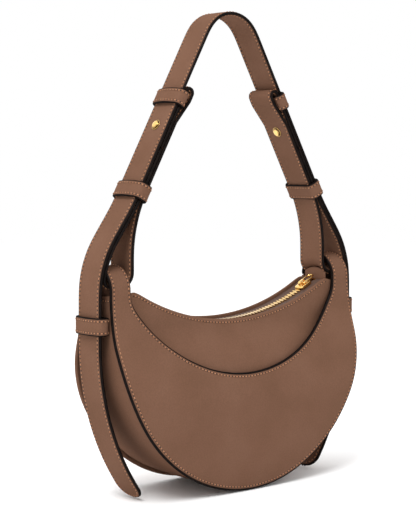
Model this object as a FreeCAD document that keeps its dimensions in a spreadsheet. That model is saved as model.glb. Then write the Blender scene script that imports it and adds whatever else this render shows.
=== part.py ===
import FreeCAD, Part
import math
import os
import re
import Sketcher

# A half-moon shoulder bag. The frame has its origin where the strap hangs on a hand or a peg, X to the
# right, Y to the back and Z up, in millimetres. Bag pieces are drawn from the bottom of the bag upward and
# are set down by bag_drop. The right-hand strap pieces are drawn and the left-hand ones mirrored.

V = FreeCAD.Vector

# The driving sizes, in millimetres and degrees
SIZES = {
    "strap_width": 27.0,
    "strap_ply": 2.4,
    "ply_gap": 0.3,
    "seam_gap": 0.2,
    "metal_gap": 0.1,
    "apex_radius": 25.6,
    "knee_rise": 23.6396,
    "seat_rise": 179.9,
    "belt_bend": 40.0,
    "leg_bend": 100.0,
    "leg_rise": 12.0,
    "flare_angle": 37.5,
    "flare_drop": 8.5,
    "horn_side_gap": 1.0,
    "loop_lift": 3.6,
    "loop_slack": 3.5,
    "loop_corner": 4.0,
    "loop_sag": 8.0,
    "tail_bend": 185.0,
    "tail_turn": 38.2,
    "tail_tip_radius": 11.0,
    "moon_radius": 119.5,
    "moon_leather": 3.2,
    "bite_drop": 38.9,
    "bite_inset": 2.9,
    "horn_width": 19.0,
    "horn_inset": 0.5,
    "axis_rise": 3.8,
    "tunnel_radius": 15.2,
    "belly_half": 35.0,
    "shoulder_height": 60.0,
    "belly_bend": 150.0,
    "panel_bend": 110.0,
    "panel_leather": 2.0,
    "zip_half": 14.8,
    "lining_cloth": 0.8,
    "gusset_leather": 2.0,
    "flange": 3.0,
    "hem_drop": 3.5,
    "tab_drop": 3.6,
    "tab_depth": 22.0,
    "tab_leather": 2.0,
    "tab_step": 1.0,
    "lining_drop": 4.0,
    "zip_rise": 66.9,
    "zip_radius": 183.6,
    "zip_end_gap": 5.4,
    "zip_sink": 3.0,
    "zip_shoulder": 8.0,
    "tape_cloth": 0.8,
    "tape_inner": 1.3,
    "tooth_pitch": 3.2,
    "tooth_thick": 1.3,
    "tooth_high": 3.0,
    "tooth_back": 3.4,
    "tooth_head": 1.1,
    "slider_back": 11.4,
    "slider_long": 12.0,
    "slider_wide": 9.2,
    "slider_high": 6.4,
    "slider_fit": 0.35,
    "nose_long": 3.0,
    "nose_wide": 1.1,
    "wedge_half": 1.1,
    "wedge_long": 3.2,
    "wedge_end": 5.0,
    "crown_high": 3.2,
    "crown_wide": 2.4,
    "crown_metal": 1.0,
    "crown_front": 3.0,
    "crown_rear": 4.0,
    "pull_long": 14.0,
    "pull_wide": 7.0,
    "pull_metal": 1.5,
    "pull_thick": 1.3,
    "keeper_leather": 2.0,
    "keeper_high": 13.0,
    "keeper_ease": 0.4,
    "upper_keeper_at": 59.0,
    "lower_keeper_at": 137.0,
    "side_keeper_drop": 17.0,
    "stud_drop": 24.0,
    "splice_drop": 41.3,
    "fold_above": 12.0,
    "fold_room": 4.4,
    "fold_gap": 1.4,
    "bulge_run": 20.0,
    "stud_head": 4.2,
    "stud_dome": 2.3,
    "stud_brow": 1.6,
    "stud_crown": 2.5,
    "stud_post": 2.0,
    "stud_bore": 1.4,
    "stud_shank": 1.2,
    "pocket_half": 50.0,
    "pocket_low": 45.0,
    "pocket_high": 100.0,
    "overrun": 20.0,
}

# Sizes that follow from the driving ones
DERIVED = {
    "ply_step": "strap_ply + ply_gap",
    "sin_flare": "sin(flare_angle * 1 deg)",
    "cos_flare": "cos(flare_angle * 1 deg)",
    "arch_half": "tunnel_radius + moon_leather",
    "zip_dip": "shoulder_height + zip_rise",
    "zip_centre": "zip_dip + zip_radius",
    "horn_outer": "moon_radius - horn_inset",
    "horn_inner": "horn_outer - horn_width",
    "bite_radius": "moon_radius - bite_inset",
    "zip_reach": "horn_inner - zip_end_gap",
    "zip_angle": "asin(zip_reach / zip_radius) / 1 deg",
    "zip_end_z": "zip_centre - zip_radius * cos(zip_angle * 1 deg)",
    "chain_radius": "zip_radius + zip_sink",
    "slider_angle": "zip_angle - slider_back / chain_radius * 180 / pi",
    "tab_height": "zip_end_z - tab_drop",
    "axis_height": "tab_height + axis_rise",
    "hem_height": "tab_height - hem_drop",
    "side_keeper_at": "hem_height - side_keeper_drop",
    "bite_height": "zip_dip - bite_drop",
    "horn_foot": "bite_height + bite_radius - sqrt(bite_radius ^ 2 - horn_inner ^ 2)",
    "bag_drop": "seat_rise + axis_height",
    "outer_leg_face": "horn_outer + horn_side_gap",
    "belt_face": "outer_leg_face + ply_step",
    "inner_leg_face": "horn_inner - loop_slack",
    "strand_face": "apex_radius - ply_gap - ply_step",
    "knee_depth": "seat_rise - knee_rise",
    "knee_in": "leg_bend - inner_leg_face",
    "knee_out": "(leg_bend - strand_face) / sqrt(knee_depth ^ 2 + knee_in ^ 2)",
    "strap_angle": "(asin(knee_out) - atan(knee_in / knee_depth)) / 1 deg",
    "sin_leg": "sin(strap_angle * 1 deg)",
    "cos_leg": "cos(strap_angle * 1 deg)",
    "inner_leg_z": "-knee_depth",
    "flare_at": "lower_keeper_at + flare_drop",
    "stud_at": "upper_keeper_at + stud_drop",
    "splice_at": "upper_keeper_at + splice_drop",
    "leaf_end": "splice_at - ply_gap / 2",
    "fold_at": "upper_keeper_at - fold_above",
    "fold_start": "stud_at - stud_head - fold_gap",
    "moon_stack": "moon_leather + seam_gap",
    "gusset_radius": "moon_radius - flange",
    "panel_radius": "gusset_radius - gusset_leather - seam_gap",
    "lining_radius": "panel_radius - lining_cloth - seam_gap",
    "lining_at": "panel_leather + seam_gap",
    "pocket_at": "lining_at + lining_cloth + seam_gap",
    "tail_top": "side_keeper_at - keeper_high / 2 - ply_gap - strap_ply / 2",
    "tail_face": "belt_face - tail_bend",
}

doc = FreeCAD.newDocument("half_moon_bag")
sheet = doc.addObject("Spreadsheet::Sheet", "Sizes")
cells = list(SIZES.items()) + [(alias, "=" + formula) for alias, formula in DERIVED.items()]
for row, (alias, content) in enumerate(cells, start=1):
    sheet.set("A%d" % row, alias)
    sheet.set("B%d" % row, str(content))
    sheet.setAlias("B%d" % row, alias)
doc.recompute()


def bound(text):
    """Write a formula out in terms of the sheet's cells."""
    def swap(match):
        word = match.group()
        return "Sizes." + word if word in SIZES or word in DERIVED else word
    return re.sub(r"[a-z_]+", swap, str(text))


def number(text):
    """The value of a formula."""
    result = sheet.evalExpression(bound(text))
    return float(getattr(result, "Value", result))


# Drawing helpers

TURN = {
    "XZ": FreeCAD.Rotation(V(1, 0, 0), 90),
    "YZ": FreeCAD.Rotation(V(1, 1, 1), 120),
    "XY": FreeCAD.Rotation(),
}


def new_sketch(name, plane, body=None):
    """An empty sketch, loose in the document or attached to its body's own origin plane."""
    if body is None:
        sketch = doc.addObject("Sketcher::SketchObject", name)
        sketch.Placement = FreeCAD.Placement(V(), TURN[plane])
        return sketch
    sketch = body.newObject("Sketcher::SketchObject", name)
    planes = {item.Role: item for item in body.Origin.OriginFeatures}
    sketch.AttachmentSupport = [(planes[plane + "_Plane"], "")]
    sketch.MapMode = "FlatFace"
    return sketch


def draw(sketch, corners):
    """Close a loop through corners (x, y, bend). The run to the next corner is straight when bend is None,
    and otherwise an arc of that radius, to the left ("+r") or to the right ("-r")."""
    spots = [(number(x), number(y)) for x, y, bend in corners]
    runs = []
    for i, (x, y, bend) in enumerate(corners):
        start = V(*spots[i], 0)
        finish = V(*spots[(i + 1) % len(spots)], 0)
        if bend is None:
            curve = Part.LineSegment(start, finish)
        else:
            radius = number(bend[1:])
            chord = finish - start
            left = V(-chord.y, chord.x, 0).normalize() * (1 if bend[0] == "+" else -1)
            depth = math.sqrt(max(radius ** 2 - (chord.Length / 2) ** 2, 0))
            middle = (start + finish) / 2 + left * (depth - radius)
            curve = Part.Arc(start, middle, finish)
        index = sketch.addGeometry(curve, False)
        gaps = [(sketch.getPoint(index, end) - start).Length for end in (1, 2)]
        first = 1 if gaps[0] < gaps[1] else 2
        runs.append((index, first, 3 - first))
    count = len(runs)
    for i, (x, y, bend) in enumerate(corners):
        index, first, last = runs[i]
        after, after_first, after_last = runs[(i + 1) % count]
        sketch.addConstraint(Sketcher.Constraint("Coincident", index, last, after, after_first))
        wanted = [("DistanceX", x, spots[i][0]), ("DistanceY", y, spots[i][1])]
        for kind, formula, size in wanted:
            place = sketch.addConstraint(Sketcher.Constraint(kind, -1, 1, index, first, size))
            label = "%s%d" % (kind[-1].lower() + "_of_corner", index)
            sketch.renameConstraint(place, label)
            sketch.setExpression("Constraints." + label, bound(formula))
        if bend is not None:
            place = sketch.addConstraint(Sketcher.Constraint("Radius", index, number(bend[1:])))
            label = "bend%d" % index
            sketch.renameConstraint(place, label)
            sketch.setExpression("Constraints." + label, bound(bend[1:]))
    return sketch


def prism(name, plane, loops, length, base=None, both=True):
    """Extrude loops square to their plane. base moves the sketch, as {axis: formula}."""
    sketch = new_sketch(name + "_outline", plane)
    for loop in loops:
        draw(sketch, loop)
    for axis, formula in (base or {}).items():
        sketch.setExpression("Placement.Base." + axis, bound(formula))
    solid = doc.addObject("Part::Extrusion", name)
    solid.Base = sketch
    solid.DirMode = "Normal"
    solid.Solid = True
    solid.Symmetric = both
    solid.setExpression("LengthFwd", bound(length))
    return solid


def common(name, first, second):
    solid = doc.addObject("Part::Common", name)
    solid.Base = first
    solid.Tool = second
    return solid


def cut(name, first, second):
    solid = doc.addObject("Part::Cut", name)
    solid.Base = first
    solid.Tool = second
    return solid


def mirrored(name, source, normal):
    twin = doc.addObject("Part::Mirroring", name)
    twin.Source = source
    twin.Normal = normal
    return twin


nodes = []


def node(solid, name):
    solid.Label = name
    nodes.append(solid)
    return solid


LEFT = V(1, 0, 0)
BACK = V(0, 1, 0)
DOWN = {"z": "-bag_drop"}
WIDE = "2 * (moon_radius + overrun)"
DEEP = "2 * (belly_half + overrun)"


# Profiles of the leather across the bag, seen from its right side. Both walls are alike.

def leaning(inward, bend, stack, half, top):
    """A wall's profile from foot to top, at a depth below the face of its layer. The layer lies a stack below
    the crescent's face, leans in from the shoulder with a bend and is upright at a half-depth at the top."""
    reach = "(belly_half - %s - %s)" % (stack, half)
    rise = "(%s - shoulder_height)" % top
    span = "((%s ^ 2 + %s ^ 2) / (2 * %s))" % (reach, rise, reach)
    shrink = "(%s - (%s))" % (bend, inward)
    belly = "-(belly_half - %s - (%s))" % (stack, inward)
    return [
        (belly, "0", None),
        (belly, "shoulder_height", "-" + shrink),
        ("%s - belly_half + %s + %s * (%s / %s - 1)" % (bend, stack, shrink, reach, span),
         "shoulder_height + %s * %s / %s" % (shrink, rise, span), "+%s - %s + (%s)" % (span, bend, inward)),
    ]


def moon_edge(inward):
    """Front half of the crescent's profile at a depth below its outer face, from foot to arch top."""
    return leaning(inward, "belly_bend", "0", "arch_half", "axis_height") + [
        ("-(arch_half - (%s))" % inward, "axis_height", "-arch_half - (%s)" % inward),
        ("0", "axis_height + arch_half - (%s)" % inward, None),
    ]


def panel_edge(inward):
    """Front half of the panel's profile at a depth below its outer face, from foot to zip."""
    return leaning(inward, "panel_bend", "moon_stack", "zip_half", "zip_dip") + [
        ("-(zip_half - (%s))" % inward, "zip_dip", None),
        ("-(zip_half - (%s))" % inward, "axis_height + arch_half", None),
    ]


def back_again(edge):
    """The same run of corners followed backward."""
    bends = [bend for x, y, bend in edge]
    flipped = {"+": "-", "-": "+"}
    back = []
    for i in range(len(edge) - 1, -1, -1):
        bend = bends[i - 1] if i else None
        back.append((edge[i][0], edge[i][1], None if bend is None else flipped[bend[0]] + bend[1:]))
    return back


def to_back(edge):
    """The same run of corners on the back of the bag."""
    flipped = {"+": "-", "-": "+"}
    return [("-(%s)" % x, y, None if bend is None else flipped[bend[0]] + bend[1:]) for x, y, bend in edge]


def inside_of(edge, inward):
    """Everything within a profile, front to back."""
    front = edge(inward)[:4]
    return front[:3] + [(front[3][0], front[3][1], None)] + back_again(to_back(front))


# Outlines of the leather seen from the front

def moon_outline():
    over = "axis_height + arch_half + overrun"
    return [
        ("0", "0", "+moon_radius"),
        ("moon_radius", "moon_radius", None),
        ("horn_outer", "axis_height", None),
        ("horn_outer", over, None),
        ("horn_inner", over, None),
        ("horn_inner", "horn_foot", "-bite_radius"),
        ("0", "bite_height", "-bite_radius"),
        ("-horn_inner", "horn_foot", None),
        ("-horn_inner", over, None),
        ("-horn_outer", over, None),
        ("-horn_outer", "axis_height", None),
        ("-moon_radius", "moon_radius", "+moon_radius"),
    ]


def panel_outline(radius, lower):
    """Half-moon panel with the zip's dip along its top, all of it lowered for inner layers."""
    shelf = "tab_height - tab_step - (%s)" % lower
    rim = "zip_end_z - (%s)" % lower
    return [
        ("0", "moon_radius - (%s)" % radius, "+" + radius),
        (radius, "moon_radius", None),
        (radius, shelf, None),
        ("zip_reach + zip_shoulder", shelf, None),
        ("zip_reach", rim, "-zip_radius"),
        ("-zip_reach", rim, None),
        ("-(zip_reach + zip_shoulder)", shelf, None),
        ("-(%s)" % radius, shelf, None),
        ("-(%s)" % radius, "moon_radius", "+" + radius),
    ]


def u_outline(outer, inner, top):
    """The strip between two half-moons, open at the top."""
    return [
        ("-(%s)" % outer, top, None),
        ("-(%s)" % outer, "moon_radius", "+" + outer),
        ("0", "moon_radius - (%s)" % outer, "+" + outer),
        (outer, "moon_radius", None),
        (outer, top, None),
        (inner, top, None),
        (inner, "moon_radius", "-" + inner),
        ("0", "moon_radius - (%s)" % inner, "-" + inner),
        ("-(%s)" % inner, "moon_radius", None),
        ("-(%s)" % inner, top, None),
    ]


# Crescents: the front one carries both arches over to the back

moon_shape = prism("moon_shape", "XZ", [moon_outline()], DEEP, DOWN)
arch_over = [("0", "axis_height + arch_half", "-arch_half"), ("arch_half", "axis_height", None),
             ("tunnel_radius", "axis_height", "+tunnel_radius")]
front_band = moon_edge("0")[:4] + arch_over + back_again(moon_edge("moon_leather"))
front_moon_band = prism("front_moon_band", "YZ", [front_band], WIDE, DOWN)
node(common("front_moon", moon_shape, front_moon_band), "front_crescent")

foot_to_spring = moon_edge("0")[:3] + [("-arch_half", "axis_height", None)]
back_band = foot_to_spring + back_again(moon_edge("moon_leather")[:4])
back_moon_band = prism("back_moon_band", "YZ", [back_band], WIDE, DOWN)
back_moon_turned = common("back_moon_turned", moon_shape, back_moon_band)
node(mirrored("back_moon", back_moon_turned, BACK), "back_crescent")


# Panels, linings and the slip pocket

def sheet_piece(name, outline, outside, inside):
    """One curved layer of the front wall."""
    shape = prism(name + "_shape", "XZ", [outline], DEEP, DOWN)
    strip = panel_edge(outside) + back_again(panel_edge(inside))
    return common(name, shape, prism(name + "_band", "YZ", [strip], WIDE, DOWN))


panel = sheet_piece("panel", panel_outline("panel_radius", "0"), "0", "panel_leather")
node(panel, "front_panel")
node(mirrored("panel_twin", panel, BACK), "back_panel")
lining = sheet_piece("lining", panel_outline("lining_radius", "lining_drop"), "lining_at",
                     "(lining_at + lining_cloth)")
node(lining, "front_lining")
node(mirrored("lining_twin", lining, BACK), "back_lining")
pocket_outline = [
    ("-pocket_half", "pocket_low", None),
    ("pocket_half", "pocket_low", None),
    ("pocket_half", "pocket_high", None),
    ("-pocket_half", "pocket_high", None),
]
slip_pocket = sheet_piece("slip_pocket", pocket_outline, "pocket_at", "(pocket_at + lining_cloth)")
node(mirrored("slip_pocket_back", slip_pocket, BACK), "inner_pocket")

# Gusset strip and its lining, held between the crescents and between the panels

gusset_outline = u_outline("gusset_radius", "(gusset_radius - gusset_leather)", "hem_height")
gusset_shape = prism("gusset_shape", "XZ", [gusset_outline], DEEP, DOWN)
gusset_room = prism("gusset_room", "YZ", [inside_of(moon_edge, "moon_stack")], WIDE, DOWN)
node(common("gusset_strip", gusset_shape, gusset_room), "gusset")
gusset_lining_outline = u_outline("panel_radius", "(panel_radius - lining_cloth)", "hem_height - lining_drop")
gusset_lining_shape = prism("gusset_lining_shape", "XZ", [gusset_lining_outline], DEEP, DOWN)
gusset_lining_room = prism("gusset_lining_room", "YZ", [inside_of(panel_edge, "lining_at")], WIDE, DOWN)
node(common("gusset_lining_strip", gusset_lining_shape, gusset_lining_room), "gusset_lining")


# Zip-end tabs under the arches

def rectangle(x_low, x_high, y_low, y_high):
    return [(x_low, y_low, None), (x_high, y_low, None), (x_high, y_high, None), (x_low, y_high, None)]


tab_outline = rectangle("horn_inner - tab_leather", "horn_inner", "tab_height - tab_depth", "tab_height")
tab = prism("tab", "XZ", [tab_outline], "2 * (zip_half - pocket_at)", DOWN)
node(tab, "tab_right")
node(mirrored("tab_twin", tab, LEFT), "tab_left")

# Zip tapes, on an arc about the zip's centre


def on_arc(radius, angle):
    """A spot on the zip's arc, at an angle from its lowest point."""
    x = "(%s) * sin((%s) * 1 deg)" % (radius, angle)
    return (x, "zip_centre - (%s) * cos((%s) * 1 deg)" % (radius, angle))


upper = "chain_radius - tape_cloth / 2"
lower = "chain_radius + tape_cloth / 2"
tape_outline = [
    on_arc(lower, "-zip_angle") + ("+" + lower,),
    on_arc(lower, "zip_angle") + (None,),
    on_arc(upper, "zip_angle") + ("-" + upper,),
    on_arc(upper, "-zip_angle") + (None,),
]
tape = prism("tape", "XZ", [tape_outline], "zip_half - panel_leather - seam_gap - tape_inner",
             {"y": "-tape_inner", "z": "-bag_drop"}, both=False)
node(tape, "zip_tape_front")
node(mirrored("tape_twin", tape, BACK), "zip_tape_back")

# Zip teeth: each clasps the edge of its tape, and the two rows take turns along the arc

chain = number("chain_radius")
centre = V(0, 0, number("zip_centre - bag_drop"))
pitch = math.degrees(number("tooth_pitch") / chain)
first_tooth = -number("zip_angle") + pitch
last_tooth = number("slider_angle")


def tooth():
    """One tooth of the front row at the lowest point of the arc."""
    thick, high = number("tooth_thick"), number("tooth_high")
    back, head = number("tooth_back"), number("tooth_head")
    grip = number("tape_inner - metal_gap")
    slot = number("tape_cloth + metal_gap")
    block = Part.makeBox(thick, back + head, high, V(-thick / 2, -back, -high / 2))
    clasp = Part.makeBox(thick, back - grip, slot, V(-thick / 2, -back, -slot / 2))
    piece = block.cut(clasp)
    piece.translate(V(0, 0, centre.z - chain))
    return piece


def row(name, offset, flipped):
    teeth = []
    angle = first_tooth + offset * pitch
    while angle < last_tooth:
        piece = tooth()
        if flipped:
            piece = piece.mirror(V(), BACK)
        piece.rotate(centre, V(0, 1, 0), -angle)
        teeth.append(piece)
        angle += pitch
    feature = doc.addObject("Part::Feature", name)
    feature.Shape = Part.makeCompound(teeth)
    return node(feature, name)


row("zip_teeth_front", 0, False)
row("zip_teeth_back", 0.5, True)


# Zip stops: a pair beyond the slider and one block across the far end

def stop(angle, y_low, y_high):
    thick, high = number("tooth_thick"), number("tooth_high")
    grip = number("tape_cloth + metal_gap")
    block = Part.makeBox(thick, y_high - y_low, high, V(-thick / 2, y_low, -high / 2))
    slot = Part.makeBox(thick, y_high - y_low, grip, V(-thick / 2, y_low, -grip / 2))
    edge = number("tape_inner - metal_gap")
    bridge = Part.makeBox(thick, 2 * edge, high, V(-thick / 2, -edge, -high / 2))
    piece = block.cut(slot.cut(bridge))
    piece.translate(V(0, 0, centre.z - chain))
    piece.rotate(centre, V(0, 1, 0), -angle)
    return piece


back_reach = number("tooth_back")
head_reach = number("tape_inner - ply_gap")
top_angle = number("zip_angle") - pitch / 4
stops = doc.addObject("Part::Feature", "zip_stops")
stops.Shape = Part.makeCompound([
    stop(-number("zip_angle") + pitch / 4, -back_reach, back_reach),
    stop(top_angle, -back_reach, -head_reach / 2),
    stop(top_angle, head_reach / 2, back_reach),
])
node(stops, "zip_stops")


# Bodies drawn about their own origin and then set in place

def new_body(name, angle, base):
    """A body tipped about Y by an angle, local X toward the right and up."""
    body = doc.addObject("PartDesign::Body", name)
    body.Placement = FreeCAD.Placement(V(), FreeCAD.Rotation(V(0, -1, 0), number(angle)))
    body.setExpression("Placement.Rotation.Angle", bound(angle))
    for axis, formula in base.items():
        body.setExpression("Placement.Base." + axis, bound(formula))
    return body


def pad(body, name, plane, loops, length):
    sketch = new_sketch(name + "_outline", plane, body)
    for loop in loops:
        draw(sketch, loop)
    feature = body.newObject("PartDesign::Pad", name)
    feature.Profile = sketch
    feature.SideType = "Symmetric"
    feature.setExpression("Length", bound(length))
    body.Tip = feature
    sketch.Visibility = False
    return feature


def pocket(body, name, plane, loops):
    """Cut loops right through a body."""
    sketch = new_sketch(name + "_outline", plane, body)
    for loop in loops:
        draw(sketch, loop)
    feature = body.newObject("PartDesign::Pocket", name)
    feature.Profile = sketch
    feature.SideType = "Symmetric"
    feature.Type = "ThroughAll"
    body.Tip = feature
    sketch.Visibility = False
    return feature


def spun(body, name, corners):
    """Turn a half-profile about the body's local X axis."""
    sketch = draw(new_sketch(name + "_outline", "XZ", body), corners)
    feature = body.newObject("PartDesign::Revolution", name)
    feature.Profile = sketch
    feature.ReferenceAxis = (sketch, ["H_Axis"])
    feature.Angle = 360
    body.Tip = feature
    return feature


# Zip slider: wedge, two channelled plates with tapered ends, and the crown over the pull

slider_x, slider_z = on_arc("chain_radius", "slider_angle")
slider = new_body("slider_body", "slider_angle", {"x": slider_x, "z": slider_z + " - bag_drop"})
half_high = "slider_high / 2"
half_wide = "slider_wide / 2"
wedge_loop = rectangle("wedge_end - wedge_long", "wedge_end", "-wedge_half", "wedge_half")
pad(slider, "wedge", "XY", [wedge_loop], "slider_high")
room_y = "tooth_back + slider_fit"
room_z = "tooth_high / 2 + slider_fit"
slot_z = "tape_cloth / 2 + slider_fit"
upper_plate = [
    ("-" + half_wide, slot_z, None), ("-(%s)" % room_y, slot_z, None), ("-(%s)" % room_y, room_z, None),
    (room_y, room_z, None), (room_y, slot_z, None), (half_wide, slot_z, None),
    (half_wide, half_high, None), ("-" + half_wide, half_high, None),
]
lower_plate = [(x, "-(%s)" % z, None) for x, z, bend in upper_plate]
pad(slider, "plates", "YZ", [upper_plate, lower_plate], "slider_long")
crown_top = half_high + " + crown_high"
crown_under = half_high + " + crown_high - crown_metal"
crown_root = half_high + " - crown_metal / 2"
crown_loop = [
    ("-crown_rear", crown_root, None), ("crown_metal - crown_rear", crown_root, None),
    ("crown_metal - crown_rear", crown_under, None), ("crown_front - crown_metal", crown_under, None),
    ("crown_front - crown_metal", crown_root, None), ("crown_front", crown_root, None),
    ("crown_front", crown_top, None), ("-crown_rear", crown_top, None),
]
pad(slider, "crown", "XZ", [crown_loop], "crown_wide")
nose = []
for end in ("slider_long / 2", "-slider_long / 2"):
    inward = " - nose_long" if end[0] != "-" else " + nose_long"
    for side, narrower in ((half_wide, " - nose_wide"), ("-" + half_wide, " + nose_wide")):
        nose.append([(end, side, None), (end + inward, side, None), (end, side + narrower, None)])
pocket(slider, "nose", "XY", nose)
node(slider, "zip_slider")

# Zip pull: a bow on a round pin that lies under the crown

tip_cos = "cos(slider_angle * 1 deg)"
tip_sin = "sin(slider_angle * 1 deg)"
pin_x = "((crown_front - crown_rear) / 2)"
pin_z = "((slider_high + crown_high - crown_metal) / 2)"
pull = new_body("pull_body", "slider_angle", {
    "x": "%s + %s * %s - %s * %s" % (slider_x, pin_x, tip_cos, pin_z, tip_sin),
    "z": "%s - bag_drop + %s * %s + %s * %s" % (slider_z, pin_x, tip_sin, pin_z, tip_cos),
})
bow_out = "(pull_wide / 2)"
bow_in = "(pull_wide / 2 - pull_metal)"
bow_root = "-pull_metal / 2"
bow_far = "(pull_long - pull_wide / 2 - pull_metal / 2)"
bow = [
    (bow_root, "-" + bow_out, None), (bow_far, "-" + bow_out, "+" + bow_out),
    (bow_far + " + " + bow_out, "0", "+" + bow_out), (bow_far, bow_out, None),
    (bow_root, bow_out, None), (bow_root, bow_in, None),
    (bow_far, bow_in, "-" + bow_in), (bow_far + " + " + bow_in, "0", "-" + bow_in),
    (bow_far, "-" + bow_in, None), (bow_root, "-" + bow_in, None),
]
pad(pull, "bow", "XY", [bow], "pull_thick")
pin_radius = "pull_metal / 2"
pin = [
    (pin_radius, "0", "+" + pin_radius), ("0", pin_radius, "+" + pin_radius),
    ("-" + pin_radius, "0", "+" + pin_radius), ("0", "-" + pin_radius, "+" + pin_radius),
]
pad(pull, "pin", "XZ", [pin], "pull_wide - pull_metal")
node(pull, "zip_pull")


# The strap, in the frame of its seat. A spot on the straight leg is given by its height above the seat's
# centre line (out) and its distance down the leg (along).

def leg(out, along):
    """A spot on the right leg, as seen from the front."""
    x = "(%s) * cos_leg + (%s) * sin_leg" % (out, along)
    return (x, "(%s) * sin_leg - (%s) * cos_leg" % (out, along))


def off_leg(spot):
    """The same spot on the left leg."""
    return ("-(%s)" % spot[0], spot[1])


def about(x, z, radius, tilt="leg"):
    """Where an arc that starts upright has come round to the leg's tilt, or to the flare's."""
    return ("(%s) + (%s) * cos_%s" % (x, radius, tilt), "(%s) + (%s) * sin_%s" % (z, radius, tilt))


def flared(out, radius):
    """A strap layer's corners where it flares below the keeper and where it starts to bend round the arch."""
    return leg(out, "flare_at"), about(BELT_X, BELT_Z, radius, "flare")


BELT_IN = "apex_radius"
BELT_OUT = "apex_radius + strap_ply"
MID_OUT = "apex_radius - ply_gap"
MID_IN = "apex_radius - ply_step"
STRAND_OUT = "strand_face"
STRAND_IN = "strand_face - strap_ply"
AXIS = "-seat_rise"
BELT_X = "belt_face - belt_bend"
BELT_Z = "leg_rise - seat_rise"


def strap(name, loop):
    return prism(name, "XZ", [loop], "strap_width")


def cross_hole(name, along):
    """A cylinder through the strap layers for a stud's post."""
    hole = doc.addObject("Part::Cylinder", name)
    hole.setExpression("Radius", bound("stud_post + ply_gap"))
    hole.setExpression("Height", bound("4 * apex_radius"))
    hole.Placement = FreeCAD.Placement(V(), FreeCAD.Rotation(V(0, 1, 0), 60))
    hole.setExpression("Placement.Rotation.Angle", bound("90 - strap_angle"))
    x, z = leg("-apex_radius", along)
    hole.setExpression("Placement.Base.x", bound(x))
    hole.setExpression("Placement.Base.z", bound(z))
    return hole


# Shoulder belt, from one lower keeper over the apex to the other
belt_loop = [
    leg(BELT_OUT, "lower_keeper_at") + (None,),
    leg(BELT_OUT, "0") + ("+" + BELT_OUT,),
    off_leg(leg(BELT_OUT, "0")) + (None,),
    off_leg(leg(BELT_OUT, "lower_keeper_at")) + (None,),
    off_leg(leg(BELT_IN, "lower_keeper_at")) + (None,),
    off_leg(leg(BELT_IN, "0")) + ("-" + BELT_IN,),
    leg(BELT_IN, "0") + (None,),
    leg(BELT_IN, "lower_keeper_at") + (None,),
]
belt = strap("belt", belt_loop)
right_hole = cross_hole("right_hole", "stud_at")
left_hole = mirrored("left_hole", right_hole, LEFT)
pierced_belt = cut("pierced_belt", cut("belt_with_hole", belt, right_hole), left_hole)
node(pierced_belt, "shoulder_belt")

# Belt beside the bag, from the lower keeper down through the side keeper
flex_start = "lower_keeper_at + ply_gap"
flex_end = "side_keeper_at - keeper_high / 2 - bag_drop"
inner_flare, inner_bend = flared(BELT_IN, "belt_bend")
outer_flare, outer_bend = flared(BELT_OUT, "belt_bend + strap_ply")
flex_loop = [
    leg(BELT_IN, flex_start) + (None,),
    inner_flare + (None,),
    inner_bend + ("-belt_bend",),
    ("belt_face", BELT_Z, None),
    ("belt_face", flex_end, None),
    ("belt_face + strap_ply", flex_end, None),
    ("belt_face + strap_ply", BELT_Z, "+belt_bend + strap_ply"),
    outer_bend + (None,),
    outer_flare + (None,),
    leg(BELT_OUT, flex_start) + (None,),
]
flex = strap("flex", flex_loop)
node(flex, "belt_side_right")
node(mirrored("flex_twin", flex, LEFT), "belt_side_left")

# Tails: a rounded top to turn on, a long bend inward and a rounded tip
tail_z = "tail_top - bag_drop"
bend_z = "tail_top - 2 * strap_ply - bag_drop"


def tail_end(radius):
    return ("tail_face + (%s) * cos(tail_turn * 1 deg)" % radius,
            bend_z + " - (%s) * sin(tail_turn * 1 deg)" % radius)


tail_loop = [
    ("belt_face", tail_z, None),
    ("belt_face", bend_z, "-tail_bend"),
    tail_end("tail_bend") + (None,),
    tail_end("tail_bend + strap_ply") + ("+tail_bend + strap_ply",),
    ("belt_face + strap_ply", bend_z, None),
    ("belt_face + strap_ply", tail_z, "+strap_ply / 2"),
    ("belt_face + strap_ply / 2", tail_z + " + strap_ply / 2", "+strap_ply / 2"),
]
tip_z = tail_end("tail_bend + strap_ply")[1]
tip_round = [
    ("-strap_width / 2", "0", None),
    ("-strap_width / 2", tip_z + " + tail_tip_radius", "+tail_tip_radius"),
    ("tail_tip_radius - strap_width / 2", tip_z, None),
    ("strap_width / 2 - tail_tip_radius", tip_z, "+tail_tip_radius"),
    ("strap_width / 2", tip_z + " + tail_tip_radius", None),
    ("strap_width / 2", "0", None),
]
tail = common("tail", strap("square_tail", tail_loop), prism("tail_tip", "YZ", [tip_round], WIDE))
node(tail, "tail_right")
node(mirrored("tail_twin", tail, LEFT), "tail_left")

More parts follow.
